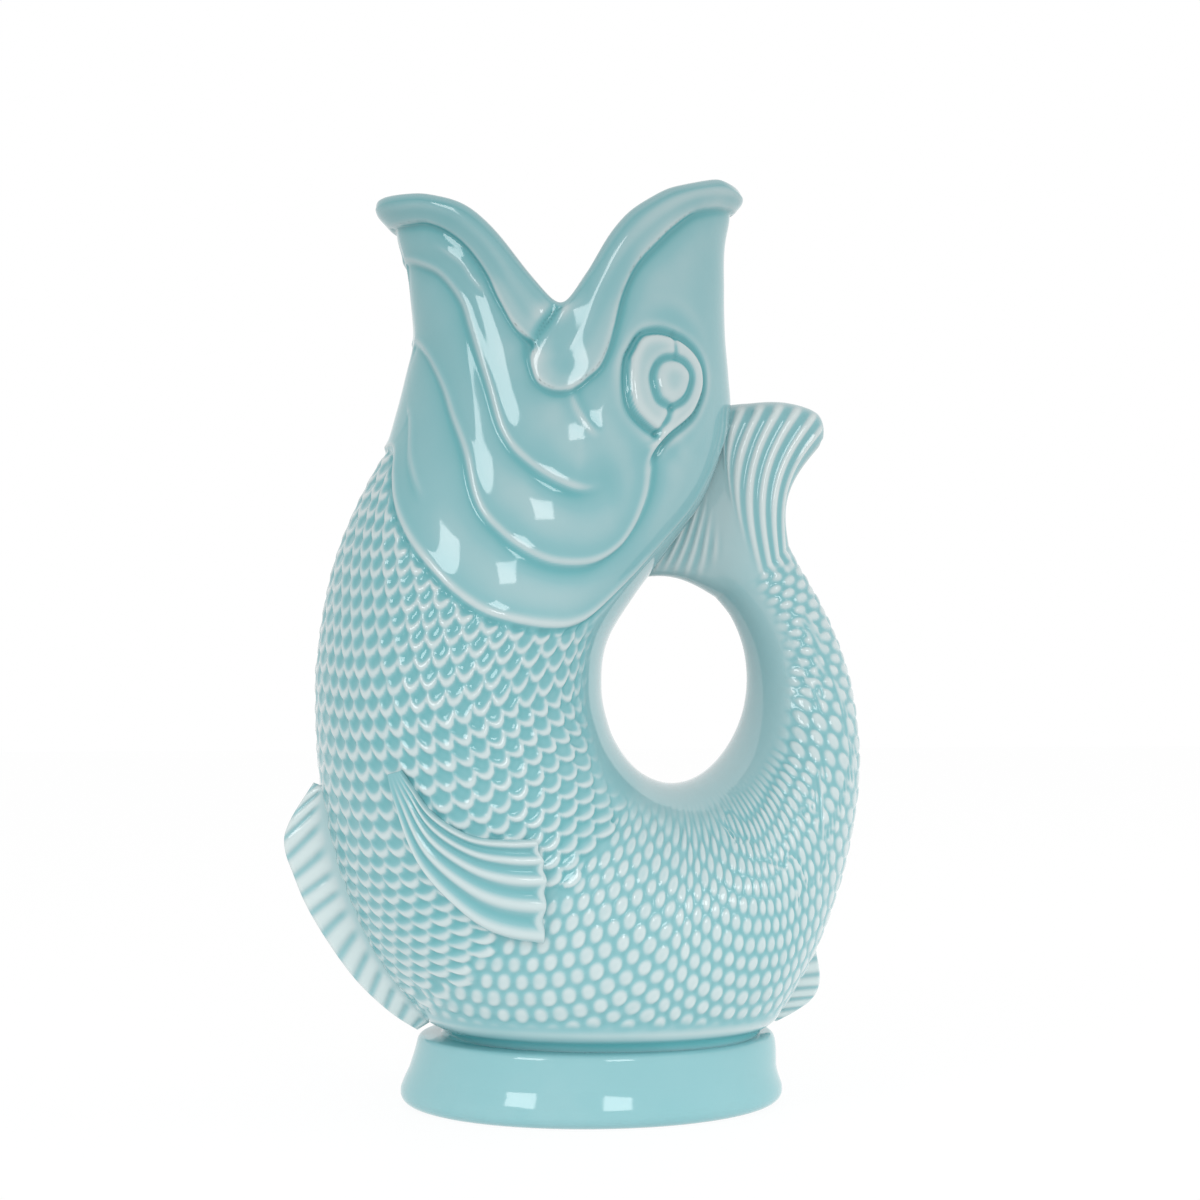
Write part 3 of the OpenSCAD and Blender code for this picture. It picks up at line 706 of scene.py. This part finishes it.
def carve(side):
    """Carving of the left (1) or right (-1) side, where its glaze runs thin or thick, with painted
    shade on the throat and painted light on the tail fin, its lips and its eye.
    """
    cols = np.arange(SIDE) if side > 0 else -np.arange(SIDE) % COLS
    a = np.broadcast_to(ANGLES[:SIDE], (len(places), SIDE))
    t = places[:, cols]
    p = skin[OUT:, cols]*np.array([1, side, 1])
    relief = np.zeros(t.shape)
    pale = np.zeros(t.shape)

    head = slice(0, HEAD_ROWS + 1)
    relief[head], lower_lip, upper_lip, eye_spot = head_relief(t[head], a[head], p[head])
    # Painted shade: the throat under the head is made darker with a thicker glaze
    pale[head] = THROAT_PAINTED_SHADE*smooth(-0.45, -0.75, way(a[head]))
    pale[head] += LIP_PALE*smooth(0.5, 1.0, relief[head])*(lower_lip | upper_lip)

    body = slice(HEAD_ROWS + 1, None)
    t_body, a_body, p_body = t[body], a[body], p[body]
    z = p_body[..., 2]
    scaly = (1 - smooth(RAY_START_SHARE, RAY_FULL_SHARE, t_body))*smooth(*SCALE_LOW_Z, z)
    relief[body] = scale_relief(t_body, a_body, p_body)*scaly + ray_relief(t_body, a_body)
    relief[body] += COLLAR_RISE*bell(z - COLLAR_Z, 1.4) - CHANNEL_DEPTH*bell(z - CHANNEL_Z, 1.2)
    pale[body] = scaly*mix(SCALE_PALE, GRAIN_PALE, smooth(15, 16, t_body))
    # Tail fin paler: thinner glaze on its rays, and painted light against the shade between the fin and
    # the head
    pale[body] += FLUKE_PAINTED_LIGHT*smooth(RAY_START_SHARE, 27.5, t_body)

    near = slice(0, HEAD_ROWS + GILL_ROWS)
    relief[near] = gill_relief(relief[near], t[near], a[near], p[near])
    return relief, pale, lower_lip, upper_lip, eye_spot


pairs = zip(carve(1), carve(-1))
relief, pale, lower_lip, upper_lip, eye_spot = [join(left, right) for left, right in pairs]
col_mm = np.linalg.norm(np.roll(skin[OUT:], -1, 1) - skin[OUT:], axis=2).mean(1)
surface, glaze = make_glaze(relief, col_mm)
surface = np.concatenate([np.zeros((OUT, COLS)), surface])
# Inside the throat and over the rim the glaze is a little thin: painted light in the shade inside the
# mouth
skin_glaze = np.concatenate([np.full((OUT, COLS), INSIDE_GLAZE_AND_PAINTED_LIGHT), glaze - pale])
skin = skin + grid_normals(skin)*surface[..., None]
skin_normals = grid_normals(skin)


GLAZE_ROUGHNESS = 0.07
GLAZE_IOR = 1.58
GLAZE_STOPS = [(0.0, (0.66, 0.74, 0.735)), (0.25, (0.51, 0.62, 0.63)), (0.5, (0.238, 0.475, 0.505)),
               (0.75, (0.125, 0.4, 0.43)), (1.0, (0.08, 0.33, 0.36))]
MOTTLE_SCALE = 60
MOTTLE_RANGE = (0.46, 0.54)
# Painted light and shade: the colour is scaled up towards the foot, as light thrown up from the floor,
# and down towards the top, as shade
PAINTED_FLOOR_LIGHT_RANGE = (1.2, 0.8)


def ranged(nodes, links, source, low, high, end=1.0):
    """Output that goes from low to high while the source goes from 0 to end."""
    node = nodes.new("ShaderNodeMapRange")
    node.inputs["From Max"].default_value = end
    node.inputs["To Min"].default_value = low
    node.inputs["To Max"].default_value = high
    links.new(source, node.inputs["Value"])
    return node.outputs["Result"]


def glaze_material(name):
    """Turquoise glaze, deep where it pools, pale where it runs thin, and painted lighter towards the
    foot and darker towards the top, as light from the floor and shade above.
    """
    m = bpy.data.materials.new(name)
    m.use_nodes = True
    nodes, links = m.node_tree.nodes, m.node_tree.links
    shader = nodes["Principled BSDF"]
    shader.inputs["Roughness"].default_value = GLAZE_ROUGHNESS
    shader.inputs["IOR"].default_value = GLAZE_IOR
    thick = nodes.new("ShaderNodeAttribute")
    thick.attribute_name = "glaze"
    place = nodes.new("ShaderNodeNewGeometry")
    mottle = nodes.new("ShaderNodeTexNoise")
    mottle.inputs["Scale"].default_value = MOTTLE_SCALE
    mottle.inputs["Detail"].default_value = 3
    links.new(place.outputs["Position"], mottle.inputs["Vector"])
    total = nodes.new("ShaderNodeMath")
    total.operation = "ADD"
    links.new(thick.outputs["Fac"], total.inputs[0])
    links.new(ranged(nodes, links, mottle.outputs["Fac"], *MOTTLE_RANGE), total.inputs[1])
    ramp = nodes.new("ShaderNodeValToRGB")
    while len(ramp.color_ramp.elements) < len(GLAZE_STOPS):
        ramp.color_ramp.elements.new(0.5)
    for element, (at, colour) in zip(ramp.color_ramp.elements, GLAZE_STOPS):
        element.position = at
        element.color = (*colour, 1)
    links.new(total.outputs[0], ramp.inputs["Fac"])
    height = nodes.new("ShaderNodeSeparateXYZ")
    links.new(place.outputs["Position"], height.inputs["Vector"])
    # Painted light and shade by height: brighter towards the foot, darker towards the top
    level = ranged(nodes, links, height.outputs["Z"], *PAINTED_FLOOR_LIGHT_RANGE, JUG_H*MM)
    colour = nodes.new("ShaderNodeVectorMath")
    colour.operation = "SCALE"
    links.new(ramp.outputs["Color"], colour.inputs[0])
    links.new(level, colour.inputs["Scale"])
    links.new(colour.outputs[0], shader.inputs["Base Color"])
    return m


GLAZE = glaze_material("turquoise_glaze")


def add_piece(name, points, faces, thick, normals, slot, *nodes):
    """Mesh with its glaze thickness, in place of CAD nodes."""
    mesh = bpy.data.meshes.new(name + "_glazed")
    mesh.from_pydata((points*MM).tolist(), [], faces)
    layer = mesh.attributes.new("glaze", "FLOAT", "POINT")
    layer.data.foreach_set("value", np.asarray(thick, np.float32).ravel())
    mesh.polygons.foreach_set("use_smooth", [True]*len(mesh.polygons))
    mesh.materials.append(GLAZE)
    if normals is not None:
        mesh.normals_split_custom_set_from_vertices(normals.tolist())
    piece = bpy.data.objects.new(name + "_glazed", mesh)
    bpy.context.scene.collection.objects.link(piece)
    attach(piece, "root")
    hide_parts(*nodes)


def ring_quads(rows, cols, wrap):
    """Faces between rings, from the last ring back to the first too if they wrap."""
    i, j = np.meshgrid(np.arange(rows if wrap else rows - 1), np.arange(cols), indexing="ij")
    up, across = (i + 1) % rows, (j + 1) % cols
    corners = [i*cols + j, i*cols + across, up*cols + across, up*cols + j]
    return np.stack(corners, axis=-1).reshape(-1, 4)


def lid_faces(cols, first, flip):
    """Faces that close a ring from side to side."""
    j = np.arange(1, cols//2 - 1)
    quads = first + np.stack([j, j + 1, cols - j - 1, cols - j], axis=-1)
    middle = first + cols//2
    ends = [[first, first + 1, first + cols - 1], [middle - 1, middle, middle + 1]]
    faces = quads.tolist() + ends
    return [face[::-1] for face in faces] if flip else faces


def tube(name, rings, thick, normals, slot, *nodes):
    """A wall whose rings run over its outside and back along its inside."""
    faces = ring_quads(len(rings), COLS, True).tolist()
    add_piece(name, rings.reshape(-1, 3), faces, thick, normals.reshape(-1, 3), slot, *nodes)


def laid_piece(name, first, mask, slot, *nodes):
    """A piece of clay laid on the head: the skin over a patch of cells, and its underside."""
    i, j = np.nonzero(mask)
    i = i + first
    corner = [(i, j), (i, (j + 1) % COLS), (i + 1, (j + 1) % COLS), (i + 1, j)]
    quads = np.stack([r*COLS + c for r, c in corner], axis=-1)
    used, quads = np.unique(quads, return_inverse=True)
    quads = quads.reshape(-1, 4)
    n = len(used)
    top = skin.reshape(-1, 3)[used]
    normal = skin_normals.reshape(-1, 3)[used]
    edges = np.concatenate([quads[:, [k, (k + 1) % 4]] for k in range(4)])
    code = edges[:, 0]*n + edges[:, 1]
    back = edges[:, 1]*n + edges[:, 0]
    border = edges[~np.isin(code, back)]
    walls = np.stack([border[:, 1], border[:, 0], border[:, 0] + n, border[:, 1] + n], axis=-1)
    faces = np.concatenate([quads, quads[:, ::-1] + n, walls])
    thick = skin_glaze.ravel()[used]
    add_piece(name, np.concatenate([top, top - normal*LUTE/2]), faces.tolist(),
              np.concatenate([thick, thick]), np.concatenate([normal, -normal]), slot, *nodes)


def inner_skin(start, end, rows, floor=None):
    """Rings of the inside, cut off flat at the floor."""
    s = np.linspace(0, 1, rows + 1)[:, None]
    p = fish(mix(start, end, s), ANGLES + 0*s, -WALL)
    if floor is not None:
        p[..., 2] = np.maximum(p[..., 2], floor)
    return p


def cells(points_mask):
    """Cells whose four corners are all in the mask."""
    near = points_mask & np.roll(points_mask, -1, 1)
    return near[:-1] & near[1:]


def make_head():
    """The head, lowered under what is laid on it, with its lips and eyes."""
    lips_low = cells(lower_lip)
    lips_up = cells(upper_lip)
    eyes = cells(eye_spot)
    left = np.zeros_like(eyes)
    left[:, :COLS//2] = True
    covered = np.zeros((HEAD_ROWS + 1, COLS), bool)
    for mask in (lips_low, lips_up, eyes):
        wide = mask & np.roll(mask, 1, 1)
        covered[1:-1] |= wide[:-1] & wide[1:]
    rings = skin[:GILL_ROW + 1].copy()
    rings[OUT:] -= skin_normals[OUT:GILL_ROW + 1]*(LUTE*covered)[..., None]
    tube("head_shell", rings, skin_glaze[:GILL_ROW + 1], skin_normals[:GILL_ROW + 1], "glaze",
         "head_shell")
    laid_piece("lower_lip", OUT, lips_low, "glaze_pale", "lower_lip")
    laid_piece("upper_lip", OUT, lips_up, "glaze_pale", "upper_lip")
    laid_piece("left_eye", OUT, eyes & left, "glaze_deep", "left_eye")
    laid_piece("right_eye", OUT, eyes & ~left, "glaze_deep", "right_eye")


# Below, the body is cut off flat at the foot's top, and lower where the foot covers its edge
BODY_DROP = 5
BODY_DROP_SHARES = (0.79, 0.86)


def make_shell(name, first, last, inner, slot):
    """Rings first to last of the skin as a shell over the inner rings."""
    outer = skin[first:last + 1].copy()
    if name == "body_shell":
        across = np.hypot((outer[..., 0] - BODY_L*FOOT_X_SHARE)/FOOT_L, outer[..., 1]/FOOT_W)*2
        outer[..., 2] = np.maximum(outer[..., 2], FOOT_H - BODY_DROP*smooth(*BODY_DROP_SHARES, across))
    thick = np.concatenate([skin_glaze[first:last + 1], np.zeros(inner.shape[:2])])
    inside = inner[::-1]
    normals = np.concatenate([skin_normals[first:last + 1], grid_normals(inside)])
    tube(name, np.concatenate([outer, inside]), thick, normals, slot, name)


def make_fluke():
    """The tail fin, closed towards the tail and at its edge."""
    rings = skin[FLUKE_ROW:]
    rows = len(rings)
    faces = ring_quads(rows, COLS, False).tolist()
    faces += lid_faces(COLS, 0, True) + lid_faces(COLS, (rows - 1)*COLS, False)
    add_piece("tail_fin", rings.reshape(-1, 3), faces, skin_glaze[FLUKE_ROW:],
              skin_normals[FLUKE_ROW:].reshape(-1, 3), "glaze", "tail_fin")


# Edges of a side fin from its root to its tip: stations, and way from front to
# back. Its tip bows out, and its ribs grow from the root.
SIDE_FIN_TOP_SHARES = [(12.7, -0.52), (12.96, -0.47), (13.38, -0.39), (13.88, -0.22),
                       (14.2, -0.03), (14.42, 0.12)]
SIDE_FIN_LOW_SHARES = [(12.72, -0.6), (13.24, -0.58), (14.04, -0.54), (14.68, -0.45),
                       (15.2, -0.36), (15.76, -0.2)]
SIDE_FIN_RIBS = 5
SIDE_FIN_EDGE = 0.06
SIDE_FIN_BOW = 5
SIDE_FIN_GRID = (90, 120)
SIDE_FIN_SCALLOP = 0.035
SIDE_FIN_HEM_SHARES = (0.925, 0.96)
SIDE_FIN_HEM = 0.85
SIDE_FIN_ROOT_SHARE = 0.35
SIDE_FIN_FLAT = 0.8
SIDE_FIN_SIDE_ROUND = 16
SIDE_FIN_TIP_ROUND = 22
SIDE_FIN_DEEP = 0.05
SIDE_FIN_GROOVE_DEEP = 0.14
SIDE_FIN_RIB_PALE = 0.5


def sheet_faces(rows, cols):
    """Faces of a closed sheet whose rings run over its top and back under it."""
    k = 2*cols
    body_faces = ring_quads(rows, k, False)
    j = np.arange(cols - 1)
    last = (rows - 1)*k
    start = np.stack([j, k - 1 - j, k - 2 - j, j + 1], axis=-1)
    end = np.stack([last + j, last + j + 1, last + k - 2 - j, last + k - 1 - j], axis=-1)
    return np.concatenate([body_faces, start, end])


def side_fin(name, side):
    """A ribbed fin on the left (1) or right (-1) flank."""
    rows, cols = SIDE_FIN_GRID
    u = np.linspace(0, 1, rows)[:, None] + np.zeros((1, cols))
    v = np.linspace(0, 1, cols)[None, :] + np.zeros((rows, 1))
    last = len(SIDE_FIN_TOP_SHARES) - 1
    pitch = (1 - 2*SIDE_FIN_EDGE)/(SIDE_FIN_RIBS - 1)
    rib = 0.5 + 0.5*np.cos(2*math.pi*(v - SIDE_FIN_EDGE)/pitch)
    reach = u*(1 + SIDE_FIN_SCALLOP*rib*smooth(0.85, 1, u))*last
    top_edge, low_edge = along(SIDE_FIN_TOP_SHARES, reach), along(SIDE_FIN_LOW_SHARES, reach)
    place = mix(top_edge, low_edge, v[..., None])
    a = turn(place[..., 1]) + math.radians(SIDE_FIN_BOW)*u*np.sin(math.pi*v)
    rib = np.maximum(rib, SIDE_FIN_HEM*smooth(*SIDE_FIN_HEM_SHARES, u))
    edge = np.minimum(np.minimum(v, 1 - v)*SIDE_FIN_SIDE_ROUND, (1 - u)*SIDE_FIN_TIP_ROUND)
    rounding = np.sqrt(1 - (1 - np.clip(edge, 0, 1))**2)
    ribbed = 0.5 + 0.5*mix(SIDE_FIN_FLAT, rib, smooth(0, 0.45, u))
    height = SIDE_FIN_H*mix(SIDE_FIN_ROOT_SHARE, 1, np.sqrt(u))*ribbed*rounding
    top = fish(place[..., 0], a, height)
    low = fish(place[..., 0], a, -LUTE)
    rings = np.concatenate([top, low[:, ::-1]], axis=1)*np.array([1, side, 1])
    deep = (SIDE_FIN_GROOVE_DEEP - SIDE_FIN_RIB_PALE*rib)*smooth(0, 0.3, u)
    thick = np.concatenate([SIDE_FIN_DEEP + deep, 0*rib], axis=1)
    faces = sheet_faces(rows, cols)
    if side > 0:
        faces = faces[:, ::-1]
    add_piece(name, rings.reshape(-1, 3), faces.tolist(), thick, None, "glaze_pale", name)


# The belly fin and the fin under the tail are thin plates in the middle plane
BELLY_FIN_SHARES = [(-0.472, 0.350), (-0.523, 0.294), (-0.504, 0.245), (-0.467, 0.198),
                    (-0.403, 0.141), (-0.340, 0.103), (-0.287, 0.081)]
BELLY_FIN_ROOT_SHARES = [12.8, 13.15, 13.8, 14.3, 14.8, 15.3, 15.75]
BELLY_FIN_RIBS = 14
ANAL_FIN_SHARES = [(0.376, 0.081), (0.437, 0.102), (0.457, 0.125), (0.450, 0.159), (0.442, 0.181)]
ANAL_FIN_ROOT_SHARES = [19.3, 19.55, 19.85, 20.2, 20.5]
ANAL_FIN_RIBS = 8
FIN_IN_SHARE = 0.998
FIN_LEAN_SHARE = 0.07
FIN_RIB_ROWS = 16
FIN_COLS = 44
FIN_GROOVE_SHARE = 0.35
FIN_GROOVE_POWER = 1.8
FIN_FLARE = 2.6
FIN_FLARE_FADE = 9
FIN_ROUND = 0.96
FIN_ROUND_SHARE = 0.1
FIN_PALE = -0.42
FIN_GROOVE_DEEP = 0.38
FIN_ROOT_DEEP = 0.3


def plate_fin(name, edge_shares, root_shares, ribs, flip):
    """A ribbed fin in the middle plane, between its root on the skin and its free edge."""
    rows, cols = ribs*FIN_RIB_ROWS + 1, FIN_COLS
    last = len(edge_shares) - 1
    v = np.linspace(0, 1, rows)[:, None] + np.zeros((1, cols))
    f = np.linspace(0, 1, cols)[None, :] + np.zeros((rows, 1))
    edge = along(edge_shares, v*last)*np.array([BODY_L, JUG_H])*FIN_IN_SHARE
    root_t = along(np.array(root_shares)[:, None], v*last)[..., 0]
    root = fish(root_t, 0*root_t, -LUTE)
    lean = FIN_LEAN_SHARE*(1.15 - v)*(1 - f)
    groove = (0.5 - 0.5*np.cos(2*math.pi*ribs*(v + lean)))**FIN_GROOVE_POWER*smooth(0.08, 0.4, f)
    flare = FIN_FLARE*np.exp(-f*FIN_FLARE_FADE)
    rounding = np.sqrt(1 - np.clip((f - 1)/FIN_ROUND_SHARE + 1, 0, 1)**2*FIN_ROUND)
    ends = np.sqrt(1 - np.clip(1 - np.minimum(v, 1 - v)*ribs*1.5, 0, 1)**2*FIN_ROUND)
    half = (FIN_T/2*mix(1, 0.5, f)*(1 - FIN_GROOVE_SHARE*groove) + flare)*rounding*ends
    x = mix(root[..., 0], edge[..., 0], f)
    z = mix(root[..., 2], edge[..., 1], f)
    sides = [np.stack([x, s*half, z], axis=-1) for s in (1, -1)]
    rings = np.concatenate([sides[0], sides[1][:, ::-1]], axis=1)
    thick = FIN_PALE + FIN_GROOVE_DEEP*groove + FIN_ROOT_DEEP*bell(f - 0.05, 0.2)
    faces = sheet_faces(rows, cols)
    if flip:
        faces = faces[:, ::-1]
    thick = np.concatenate([thick, thick[:, ::-1]], axis=1)
    add_piece(name, rings.reshape(-1, 3), faces.tolist(), thick, None, "glaze_pale", name)


# Foot: share of the swell that its outside stands in by, share of its height
FOOT_ROUND_SHARES = [(0.56, 0), (0.3, 0.03), (0.1, 0.08), (0.01, 0.14), (0, 0.19), (0.02, 0.24),
                     (0.06, 0.28), (0.135, 0.34), (0.21, 0.4), (0.282, 0.46), (0.342, 0.52),
                     (0.39, 0.6), (0.445, 0.7), (0.5, 0.8), (0.55, 0.88), (0.595, 0.93),
                     (0.66, 0.965), (0.76, 0.99), (0.9, 1.0), (1.15, 1.005), (1.45, 1.008), (1.7, 1.01)]
FOOT_TOP_SHIFT = 1.2
FOOT_X_SHARE = 0.031
FOOT_COLS = 240
FOOT_ROWS = 85
# Fillet up to the body: how far in from the foot's widest oval, and height above its top
FOOT_FILLET = [(9.6, 0.6), (10.6, 1.8), (12.0, 3.4), (13.5, 4.4), (14.3, 3.0)]
# Inside: how far in from the ring's inner face, and share of the foot's height
FOOT_INSIDE_SHARES = [(0.6, 0.4), (0, 0.12), (-1.2, 0)]
FOOT_TOP_DEEP = 0.34
FOOT_INSIDE_DEEP = 0.3


def make_foot():
    """The foot: an oval ring with a round outside, open underneath."""
    outside = along(FOOT_ROUND_SHARES, np.linspace(0, len(FOOT_ROUND_SHARES) - 1, FOOT_ROWS))
    outside = outside*np.array([FOOT_BULGE, FOOT_H])
    inner = FOOT_BULGE + FOOT_RING_W
    fillet = [(inset, FOOT_H + rise) for inset, rise in FOOT_FILLET]
    inside = [(inner + inset, FOOT_H*share) for inset, share in FOOT_INSIDE_SHARES]
    profile = np.maximum(np.concatenate([outside, fillet, inside]), 0)
    a = 2*math.pi*np.arange(FOOT_COLS)/FOOT_COLS
    shift = FOOT_TOP_SHIFT*smooth(0.3, 0.9, profile[:, 1:]/FOOT_H)
    rings = np.stack([
        BODY_L*FOOT_X_SHARE + shift + (FOOT_L/2 - profile[:, :1])*np.cos(a),
        (FOOT_W/2 - profile[:, :1])*np.sin(a),
        profile[:, 1:] + 0*a], axis=-1)
    thick = np.full(len(profile), FOOT_INSIDE_DEEP)
    thick[:FOOT_ROWS] = FOOT_TOP_DEEP*bell(np.linspace(0, 1, FOOT_ROWS) - 1.0, 0.08)
    faces = ring_quads(len(profile), FOOT_COLS, True).tolist()
    add_piece("foot_ring", rings.reshape(-1, 3), faces, np.repeat(thick, FOOT_COLS), None, "glaze",
              "foot_ring")


make_head()
make_shell("body_shell", GILL_ROW, TAIL_ROW, inner_skin(GILL, TAIL_START, 40, FOOT_H + FLOOR_T),
           "glaze_pale")
make_shell("tail_handle", TAIL_ROW, FLUKE_ROW, inner_skin(TAIL_START, TAIL_END, 20), "glaze_pale")
make_fluke()
side_fin("left_side_fin", 1)
side_fin("right_side_fin", -1)
plate_fin("belly_fin", BELLY_FIN_SHARES, BELLY_FIN_ROOT_SHARES, BELLY_FIN_RIBS, False)
plate_fin("anal_fin", ANAL_FIN_SHARES, ANAL_FIN_ROOT_SHARES, ANAL_FIN_RIBS, True)
make_foot()


# Camera: the photograph's frame is 1200 pixels wide, and its middle lies off
# the camera's axis
FRAME_PX = 1200
AXIS_X_PX = 569.5
AXIS_Y_PX = 679.7
FOCAL_PX = 2290.0
CAMERA_AZIMUTH = -9.0
CAMERA_DISTANCE = 601.0
CAMERA_HEIGHT = 110.3
MIDDLE_X = -1.45
SENSOR_MM = 36.0


def make_camera():
    """A level camera that looks at the jug as the photograph does."""
    data = bpy.data.cameras.new("camera")
    data.sensor_width = SENSOR_MM
    data.sensor_fit = "HORIZONTAL"
    data.lens = SENSOR_MM*FOCAL_PX/FRAME_PX
    data.shift_x = (FRAME_PX/2 - AXIS_X_PX)/FRAME_PX
    data.shift_y = (AXIS_Y_PX - FRAME_PX/2)/FRAME_PX
    data.clip_start = 0.01
    camera = bpy.data.objects.new("camera", data)
    g = math.radians(CAMERA_AZIMUTH)
    camera.location = (MM*(MIDDLE_X + CAMERA_DISTANCE*math.sin(g)),
                       -MM*CAMERA_DISTANCE*math.cos(g), MM*CAMERA_HEIGHT)
    camera.rotation_euler = (math.pi/2, 0, g)
    bpy.context.scene.collection.objects.link(camera)
    bpy.context.scene.camera = camera


# Lights: the point they face, and for each its azimuth from the front, elevation,
# distance, width, height and power
AIM = Vector((0, 0, 0.12))
KEY_LIGHTS = {"window_left": (-46, 32, 1.2, 0.36, 0.36, 2.1),
              "window_front": (10, 29, 1.2, 0.3, 0.28, 1.35)}
FILL_LIGHTS = {"fill_right": (88, 4, 1.5, 1.2, 1.2, 9),
               "fill_front": (-12, 5, 1.5, 1.0, 1.0, 4.5)}


def softbox(name, azimuth, elevation, distance, width, height, power):
    """Area light seen from the jug at an azimuth from the front and an elevation."""
    data = bpy.data.lights.new(name, "AREA")
    data.shape = "RECTANGLE"
    data.size = width
    data.size_y = height
    data.energy = power
    lamp = bpy.data.objects.new(name, data)
    g, e = math.radians(azimuth), math.radians(elevation)
    way_out = Vector((math.sin(g)*math.cos(e), -math.cos(g)*math.cos(e), math.sin(e)))
    lamp.location = AIM + way_out*distance
    lamp.rotation_euler = way_out.to_track_quat("Z", "Y").to_euler()
    bpy.context.scene.collection.objects.link(lamp)
    return lamp


# Rays that see the white background, and its level for them and for other rays
SEEN_BY = ["Is Camera Ray", "Is Glossy Ray", "Is Transmission Ray"]
WORLD_LEVELS = (0.64, 1.0)
FLOOR_GLOW_SHARES = (0.35, 0.9)
FLOOR_GLOW = 1.03
FLOOR_COLOUR = (0.9, 0.9, 0.9, 1)
FLOOR_ROUGHNESS = 0.6
FLOOR_HALF_M = 3.0
WHITE = (1, 1, 1, 1)


def seen_level(nodes, links, low, high):
    """The high level for rays that see the background, and the low one for the others."""
    path = nodes.new("ShaderNodeLightPath")
    out = path.outputs[SEEN_BY[0]]
    for name in SEEN_BY[1:]:
        pick = nodes.new("ShaderNodeMath")
        pick.operation = "MAXIMUM"
        links.new(out, pick.inputs[0])
        links.new(path.outputs[name], pick.inputs[1])
        out = pick.outputs[0]
    return ranged(nodes, links, out, low, high)


def make_world():
    """A white room, seen in full by the camera and in reflections."""
    world = bpy.data.worlds.new("studio")
    bpy.context.scene.world = world
    world.use_nodes = True
    nodes, links = world.node_tree.nodes, world.node_tree.links
    back = nodes["Background"]
    back.inputs["Color"].default_value = WHITE
    links.new(seen_level(nodes, links, *WORLD_LEVELS), back.inputs["Strength"])


def make_floor():
    """A white floor that passes into the background."""
    mesh = bpy.data.meshes.new("floor")
    r = FLOOR_HALF_M
    mesh.from_pydata([(-r, -r, 0), (r, -r, 0), (r, r, 0), (-r, r, 0)], [], [(0, 1, 2, 3)])
    m = bpy.data.materials.new("floor_white")
    m.use_nodes = True
    nodes, links = m.node_tree.nodes, m.node_tree.links
    shader = nodes["Principled BSDF"]
    shader.inputs["Base Color"].default_value = FLOOR_COLOUR
    shader.inputs["Roughness"].default_value = FLOOR_ROUGHNESS
    glow = nodes.new("ShaderNodeEmission")
    glow.inputs["Color"].default_value = WHITE
    glow.inputs["Strength"].default_value = FLOOR_GLOW
    blend = nodes.new("ShaderNodeMixShader")
    links.new(seen_level(nodes, links, *FLOOR_GLOW_SHARES), blend.inputs["Fac"])
    links.new(shader.outputs[0], blend.inputs[1])
    links.new(glow.outputs[0], blend.inputs[2])
    links.new(blend.outputs[0], nodes["Material Output"].inputs["Surface"])
    mesh.materials.append(m)
    floor = bpy.data.objects.new("floor", mesh)
    bpy.context.scene.collection.objects.link(floor)


bpy.context.scene.view_settings.view_transform = "Standard"
make_camera()
make_world()
make_floor()
for name, sizes in KEY_LIGHTS.items():
    softbox(name, *sizes)
for name, sizes in FILL_LIGHTS.items():
    softbox(name, *sizes).visible_glossy = False
